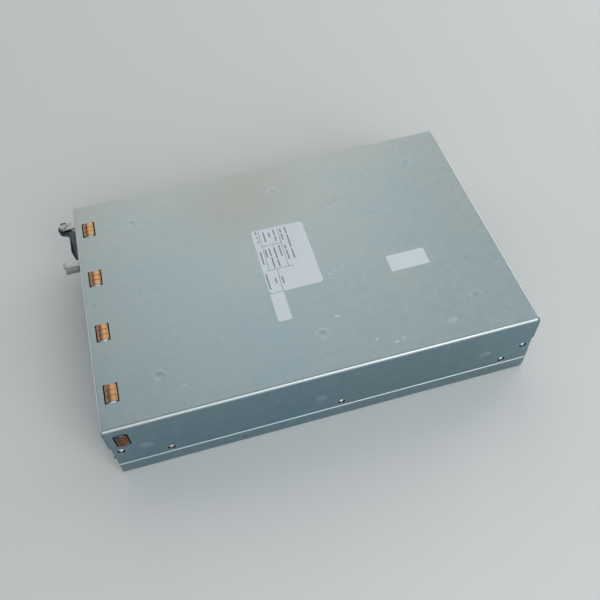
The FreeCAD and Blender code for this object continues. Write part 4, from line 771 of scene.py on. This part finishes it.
def useModifier(piece, kind, **settings):
    pick(piece)
    made = piece.modifiers.new("shaping", kind)
    for key, what in settings.items():
        setattr(made, key, what)
    bpy.ops.object.modifier_apply(modifier=made.name)


def anotherOf(piece):
    copied = bpy.data.objects.new(piece.name, piece.data.copy())
    scene.collection.objects.link(copied)
    return copied


def applyPlace(piece):
    pick(piece)
    bpy.ops.object.transform_apply(location=True, rotation=True, scale=True)


def joined(things):
    for thing in things:
        applyPlace(thing)
    pick(*things)
    bpy.ops.object.join()
    return bpy.context.object


def settle(piece, name, finish, body, standsFor=()):
    applyPlace(piece)
    bpy.ops.object.shade_smooth_by_angle(angle=math.radians(smoothBelow))
    piece.name = name
    piece.data.materials.clear()
    piece.data.materials.append(finishes[finish])
    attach(piece, body)
    if standsFor:
        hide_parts(*standsFor)


# fan rotors: a dished hub and cambered, twisted blades
rotorSet = {
    "hub": 10.5,
    "hubSides": 64,
    "length": 14.6,
    "rim": 1.3,
    "rimSteps": 4,
    "dish": ((2.2, -0.5), (0.5, -0.5)),     # inset and drop of each step
    "root": 10.0,
    "tip": 20.9,
    "chord": 13.2,
    "camber": 1.6,
    "pitch": 40.0,
    "twist": 18.0,
    "sheet": 0.9,
    "grid": (8, 10),
    "edge": 0.22,
    "edgeSteps": 2,
    "blades": 7,
    "middles": {"fan_1": -17.0, "fan_2": 36.0},
    "along": -188.3,
    "up": 41.5,
}


def makeHub():
    clearPick()
    radius, depth = rotorSet["hub"] * mm, rotorSet["length"] * mm
    bpy.ops.mesh.primitive_cylinder_add(vertices=rotorSet["hubSides"], radius=radius, depth=depth)
    hub = bpy.context.object
    editFaces(hub, lambda face: abs(face.normal.z) > square)
    bpy.ops.mesh.bevel(offset=rotorSet["rim"] * mm, segments=rotorSet["rimSteps"], affect="EDGES")
    editFaces(hub, lambda face: face.normal.z > square)
    for inset, drop in rotorSet["dish"]:
        bpy.ops.mesh.inset(thickness=inset * mm)
        bpy.ops.transform.translate(value=(0, 0, drop * mm))
    bpy.ops.object.mode_set(mode="OBJECT")
    return hub


def makeBlade():
    reach = rotorSet["tip"] - rotorSet["root"]
    half = rotorSet["chord"] / 2 * mm
    columns, rows = rotorSet["grid"]
    pitch, twist = (math.radians(rotorSet[key]) for key in ("pitch", "twist"))
    clearPick()
    bpy.ops.mesh.primitive_grid_add(x_subdivisions=columns, y_subdivisions=rows, size=1)
    blade = bpy.context.object
    bpy.ops.object.mode_set(mode="EDIT")
    selectAll()
    bpy.ops.transform.resize(value=(reach * mm, rotorSet["chord"] * mm, 1))
    crownRows(blade, 1, lambda row: rotorSet["camber"] * mm * (1 - (row / half) ** 2))
    selectAll()
    bpy.ops.transform.rotate(value=pitch, orient_axis="X", center_override=(0, 0, 0))
    useModifier(blade, "SIMPLE_DEFORM", deform_method="TWIST", deform_axis="X", angle=twist)
    useModifier(blade, "SOLIDIFY", thickness=rotorSet["sheet"] * mm, offset=0.0)
    width, steps = rotorSet["edge"] * mm, rotorSet["edgeSteps"]
    useModifier(blade, "BEVEL", width=width, segments=steps, limit_method="ANGLE")
    blade.location.x = (rotorSet["root"] + reach / 2) * mm
    applyPlace(blade)
    return blade


def makeRotors():
    hub = makeHub()
    blade = makeBlade()
    ring = [blade]
    for count in range(1, rotorSet["blades"]):
        copied = anotherOf(blade)
        copied.rotation_euler.z = math.tau * count / rotorSet["blades"]
        ring.append(copied)
    rotor = joined([hub] + ring)
    spare = anotherOf(rotor)
    for piece, (body, across) in zip((rotor, spare), rotorSet["middles"].items()):
        piece.rotation_euler.y = -math.pi / 2       # the dished end turns outwards
        piece.location = (rotorSet["along"] * mm, across * mm, rotorSet["up"] * mm)
        number = body[-1]
        settle(piece, "rotor" + number, "rotor_plastic", body, ["fan_rotor_" + number])


makeRotors()
print("rotors made")


# domed screws with a cross recess, sunk in the side walls
screwSet = {
    "rim": 2.45,
    "sides": 40,
    "deep": 0.6,
    "ball": 2.9,            # radius of the dome
    "steps": (0.25, 0.35, 0.4, 0.4, 0.4, 0.3),      # insets from the rim to the middle
    "cross": (0.55, 0.75, 0.45),        # width, arm and depth of the recess
    "shank": 1.5,
    "length": 4.2,
    "sink": 1.38,
    "wall": 132.0,
    "sideTurn": 9,          # degrees by which each side's recesses turn apart
    # along, up, turn in degrees
    "places": (
        (-148.0, 25.4, 12), (11.5, 25.4, 35), (171.0, 25.4, 58),
        (-189.5, 42.0, 20), (189.5, 42.0, 71),
    ),
}


def makeScrew():
    clearPick()
    sides, radius, deep = screwSet["sides"], screwSet["rim"] * mm, screwSet["deep"] * mm
    middle = (0, 0, -deep / 2)
    bpy.ops.mesh.primitive_cylinder_add(vertices=sides, radius=radius, depth=deep, location=middle)
    screw = bpy.context.object
    applyPlace(screw)
    editFaces(screw, lambda face: face.normal.z > square)
    reach, ball = screwSet["rim"], screwSet["ball"]
    top = 0.0
    for inset in screwSet["steps"]:
        rise = math.sqrt(ball ** 2 - (reach - inset) ** 2) - math.sqrt(ball ** 2 - reach ** 2)
        bpy.ops.mesh.inset(thickness=inset * mm)
        bpy.ops.transform.translate(value=(0, 0, rise * mm))
        reach -= inset
        top += rise
    editFaces(screw, lambda face: face.normal.z < -square)
    bpy.ops.mesh.inset(thickness=(screwSet["rim"] - screwSet["shank"]) * mm)
    extrude(0, 0, -screwSet["length"] * mm)
    wide, arm, depth = screwSet["cross"]
    clearPick()
    bpy.ops.mesh.primitive_cube_add(size=wide * mm, location=(0, 0, (top + wide / 2 - depth) * mm))
    cross = bpy.context.object
    editFaces(cross, lambda face: abs(face.normal.z) < square)
    bpy.ops.mesh.extrude_faces_move(TRANSFORM_OT_shrink_fatten={"value": arm * mm})
    selectAll()
    bpy.ops.mesh.normals_make_consistent(inside=False)
    useModifier(screw, "BOOLEAN", operation="DIFFERENCE", object=cross, solver="EXACT")
    bpy.data.objects.remove(cross)
    return screw


def makeSideScrews():
    first = makeScrew()
    out = screwSet["wall"] - screwSet["sink"]
    screws = []
    for side in (-1, 1):
        tilt = Matrix.Rotation(-side * math.pi / 2, 4, "X")
        for along, up, turn in screwSet["places"]:
            screw = anotherOf(first)
            place = Matrix.Translation((along * mm, side * out * mm, up * mm))
            spin = Matrix.Rotation(math.radians(turn + screwSet["sideTurn"] * side), 4, "Z")
            screw.matrix_world = place @ tilt @ spin
            screws.append(screw)
    bpy.data.objects.remove(first)
    settle(joined(screws), "sideScrews", "screw_zinc", "case", ["side_screws"])


makeSideScrews()
print("side screws made")


# contact clips: an arch of three fingers over the bridge of sheet, hooked under the strip behind it
clipSet = {
    "half": 5.1,
    "rise": 1.6,
    "wide": 16.9,
    "grid": (20, 12),
    "sheet": 0.25,
    "slits": (-2.82, 2.82),
    "slit": 0.5,
    "slitEnd": 4.5,
    "leg": 3.1,
    "hook": 1.3,
    "face": 83.0,
    "wall": 132.0,
}


def archStrip(half, rise, wide, columns, rows):
    # a strip bent up into an arc along x
    ball = (half ** 2 + rise ** 2) / (2 * rise)
    clearPick()
    bpy.ops.mesh.primitive_grid_add(x_subdivisions=columns, y_subdivisions=rows, size=1)
    strip = bpy.context.object
    bpy.ops.object.mode_set(mode="EDIT")
    bpy.ops.transform.resize(value=(2 * half, wide, 1))
    crownRows(strip, 0, lambda row: math.sqrt(ball ** 2 - row ** 2) - ball + rise)
    return strip


def makeClip():
    half, rise, wide, leg, hook = (clipSet[key] * mm for key in ("half", "rise", "wide", "leg", "hook"))
    clip = archStrip(half, rise, wide, *clipSet["grid"])
    for middle in clipSet["slits"]:
        for edge in (-1, 1):
            selectAll()
            cutAt = (middle + edge * clipSet["slit"] / 2) * mm
            bpy.ops.mesh.bisect(plane_co=(0, cutAt, 0), plane_no=(0, 1, 0))

    def inSlit(face):
        aside = min(abs(face.center.y / mm - middle) for middle in clipSet["slits"])
        return aside < clipSet["slit"] / 2 and abs(face.center.x) < clipSet["slitEnd"] * mm

    editFaces(clip, inSlit)
    bpy.ops.mesh.delete(type="FACE")
    editPoints(clip, lambda place: abs(place.x) > half - tiny)
    extrude(0, 0, -leg)
    for end in (-1, 1):
        editPoints(clip, lambda place: place.z < -leg + tiny and place.x * end > half - tiny)
        extrude(-end * hook, 0, 0)
    selectAll()
    bpy.ops.mesh.remove_doubles(threshold=tiny)
    useModifier(clip, "SOLIDIFY", thickness=clipSet["sheet"] * mm, offset=-1.0)
    return clip


# the bridge of sheet under each clip, pressed up a little and sloped off at its ends
bridgeSet = {
    "half": 3.85,
    "rise": 1.05,
    "wide": 20.0,
    "sideWide": 17.2,       # under the clips in the walls
    "grid": (12, 16),
    "sheet": 1.0,
    "drop": 1.15,
}


def makeBridge():
    half, rise, wide, drop = (bridgeSet[key] * mm for key in ("half", "rise", "wide", "drop"))
    bridge = archStrip(half, rise, wide, *bridgeSet["grid"])
    editPoints(bridge, lambda place: abs(place.y) > wide / 2 - tiny)
    bpy.ops.transform.translate(value=(0, 0, -drop))
    useModifier(bridge, "SOLIDIFY", thickness=bridgeSet["sheet"] * mm, offset=-1.0)
    return bridge


def putAtClip(piece, node):
    low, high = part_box(node)
    place = (low + high) / 2
    if "top" in node:
        place.z = clipSet["face"] * mm
    else:
        side = 1 if place.y > 0 else -1
        place.y = side * clipSet["wall"] * mm
        piece.rotation_euler.x = -side * math.pi / 2
    piece.location = place


def makeClips():
    firstClip = makeClip()
    firstBridge = makeBridge()
    bridges = []
    for node in sorted(name for name in nodes if name.startswith("contact_clip")):
        clip = anotherOf(firstClip)
        putAtClip(clip, node)
        settle(clip, "clip_" + node.split("clip_")[1], "clip_copper", "case", [node])
        bridge = anotherOf(firstBridge)
        putAtClip(bridge, node)
        if "side" in node:
            bridge.scale.y = bridgeSet["sideWide"] / bridgeSet["wide"]
        bridges.append(bridge)
    for first in (firstClip, firstBridge):
        bpy.data.objects.remove(first)
    settle(joined(bridges), "bridges", "shell_zinc", "case")


makeClips()
print("contact clips and their bridges made")


# the closed corners at the lever end, filled and dressed round
cornerSet = {
    "round": 2.38,
    "grid": (40, 24),
    "past": 0.5,
    "places": ((-195.6, -129.6, 80.6), (-195.6, 129.6, 80.6)),
}


def makeCorners():
    segments, rings = cornerSet["grid"]
    corners = []
    for place in cornerSet["places"]:
        clearPick()
        radius = cornerSet["round"] * mm
        bpy.ops.mesh.primitive_uv_sphere_add(segments=segments, ring_count=rings, radius=radius)
        corner = bpy.context.object
        side = 1 if place[1] > 0 else -1
        bpy.ops.object.mode_set(mode="EDIT")
        for away in ((1, 0, 0), (0, -side, 0), (0, 0, -1)):
            selectAll()
            cutAt = Vector(away) * cornerSet["past"] * mm
            bpy.ops.mesh.bisect(plane_co=cutAt, plane_no=away, use_fill=True, clear_outer=True)
        bpy.ops.object.mode_set(mode="OBJECT")
        corner.location = Vector(place) * mm
        corners.append(corner)
    settle(joined(corners), "corners", "shell_zinc", "case")


makeCorners()
print("corners made")


# edges of the lever, its bracket and the moulded parts, softened on merged copies of the solids
softSet = {
    "merge": 0.002,
    "flat": 0.5,            # degrees within which faces merge
    "sharp": 40,            # degrees from which an edge is softened
    # solid: piece, body, finish, edge radius, steps
    "pieces": {
        "ejector_lever": ("lever", "lever", "lever_steel", 0.5, 3),
        "lever_bracket": ("bracket", "case", "bracket_steel", 0.22, 2),
        "lever_keeper": ("keeper", "case", "bracket_steel", 0.22, 2),
        "ac_inlet": ("inlet", "case", "inlet_plastic", 0.6, 3),
        "output_connector": ("outlet", "case", "connector_plastic", 0.5, 3),
        "fan_frame_1": ("fanFrame1", "case", "fan_plastic", 0.6, 3),
        "fan_frame_2": ("fanFrame2", "case", "fan_plastic", 0.6, 3),
    },
}


def softenEdges():
    flat, sharp = (math.radians(softSet[key]) for key in ("flat", "sharp"))
    for node, (name, body, finish, radius, steps) in softSet["pieces"].items():
        piece = anotherOf(nodes[node])
        pick(piece)
        bpy.ops.mesh.customdata_custom_splitnormals_clear()
        bpy.ops.object.mode_set(mode="EDIT")
        selectAll()
        bpy.ops.mesh.remove_doubles(threshold=softSet["merge"] * mm)
        bpy.ops.mesh.dissolve_limited(angle_limit=flat)
        width = radius * mm
        useModifier(piece, "BEVEL", width=width, segments=steps, limit_method="ANGLE", angle_limit=sharp)
        settle(piece, name, finish, body, [node])


softenEdges()
print("edges softened:", len(softSet["pieces"]))


# table rules and plain grey fields printed on the rating label
printSet = {
    "face": 83.12,
    "raise": 0.012,
    "rule": 0.42,
    "row": 1.4,
    # rules: x, y of both ends
    "rules": (
        (-2.4, 43.0, -3.1, -7.6), (-22.4, 23.1, -2.6, 23.1), (-21.4, 44.4, -22.4, -7.6),
        (-25.0, -7.6, 2.0, -7.6), (-14.8, -7.6, -15.4, -33.6),
    ),
    # fields: x, first y and last y
    "rows": (
        (5.2, 41.8, 33.2), (5.2, 31.6, 14.6), (5.2, 12.8, 1.0), (0.1, 41.0, 36.0), (0.1, 34.4, 26.0),
        (-0.2, 19.4, 14.4), (-0.2, 12.8, 0.4), (-6.6, 42.2, 34.6), (-6.6, 33.2, 26.6), (-6.0, 20.6, 6.4),
        (-11.8, 39.4, 33.0), (-11.2, 19.4, 5.0), (-11.2, 3.4, -5.6), (-17.0, 41.6, 28.0), (-16.2, 19.0, 9.4),
        (-16.2, 8.0, -5.6), (-20.0, 19.4, 8.4), (-24.2, 43.4, 39.8), (-24.2, 37.0, 34.6), (-24.2, 31.4, 29.0),
        (-25.4, 17.0, 1.0), (-26.6, -10.4, -30.0), (-19.2, -17.8, -24.4), (-12.6, -17.8, -26.2),
    ),
}


def printed(name, finish, lines):
    strips = []
    for x, y, endX, endY, wide in lines:
        long = math.hypot(endX - x, endY - y)
        clearPick()
        bpy.ops.mesh.primitive_plane_add(size=1)
        strip = bpy.context.object
        bpy.ops.object.mode_set(mode="EDIT")
        bpy.ops.transform.resize(value=(long * mm, wide * mm, 1))
        extrude(0, 0, printSet["raise"] * mm)
        selectAll()
        bpy.ops.mesh.normals_make_consistent(inside=False)
        bpy.ops.object.mode_set(mode="OBJECT")
        strip.rotation_euler.z = math.atan2(endY - y, endX - x)
        strip.location = ((x + endX) / 2 * mm, (y + endY) / 2 * mm, printSet["face"] * mm)
        strips.append(strip)
    settle(joined(strips), name, finish, "case")


printed("labelRules", "label_ink", [(*ends, printSet["rule"]) for ends in printSet["rules"]])
printed("labelFields", "faint_ink", [(x, y, x, end, printSet["row"]) for x, y, end in printSet["rows"]])
print("label print made")
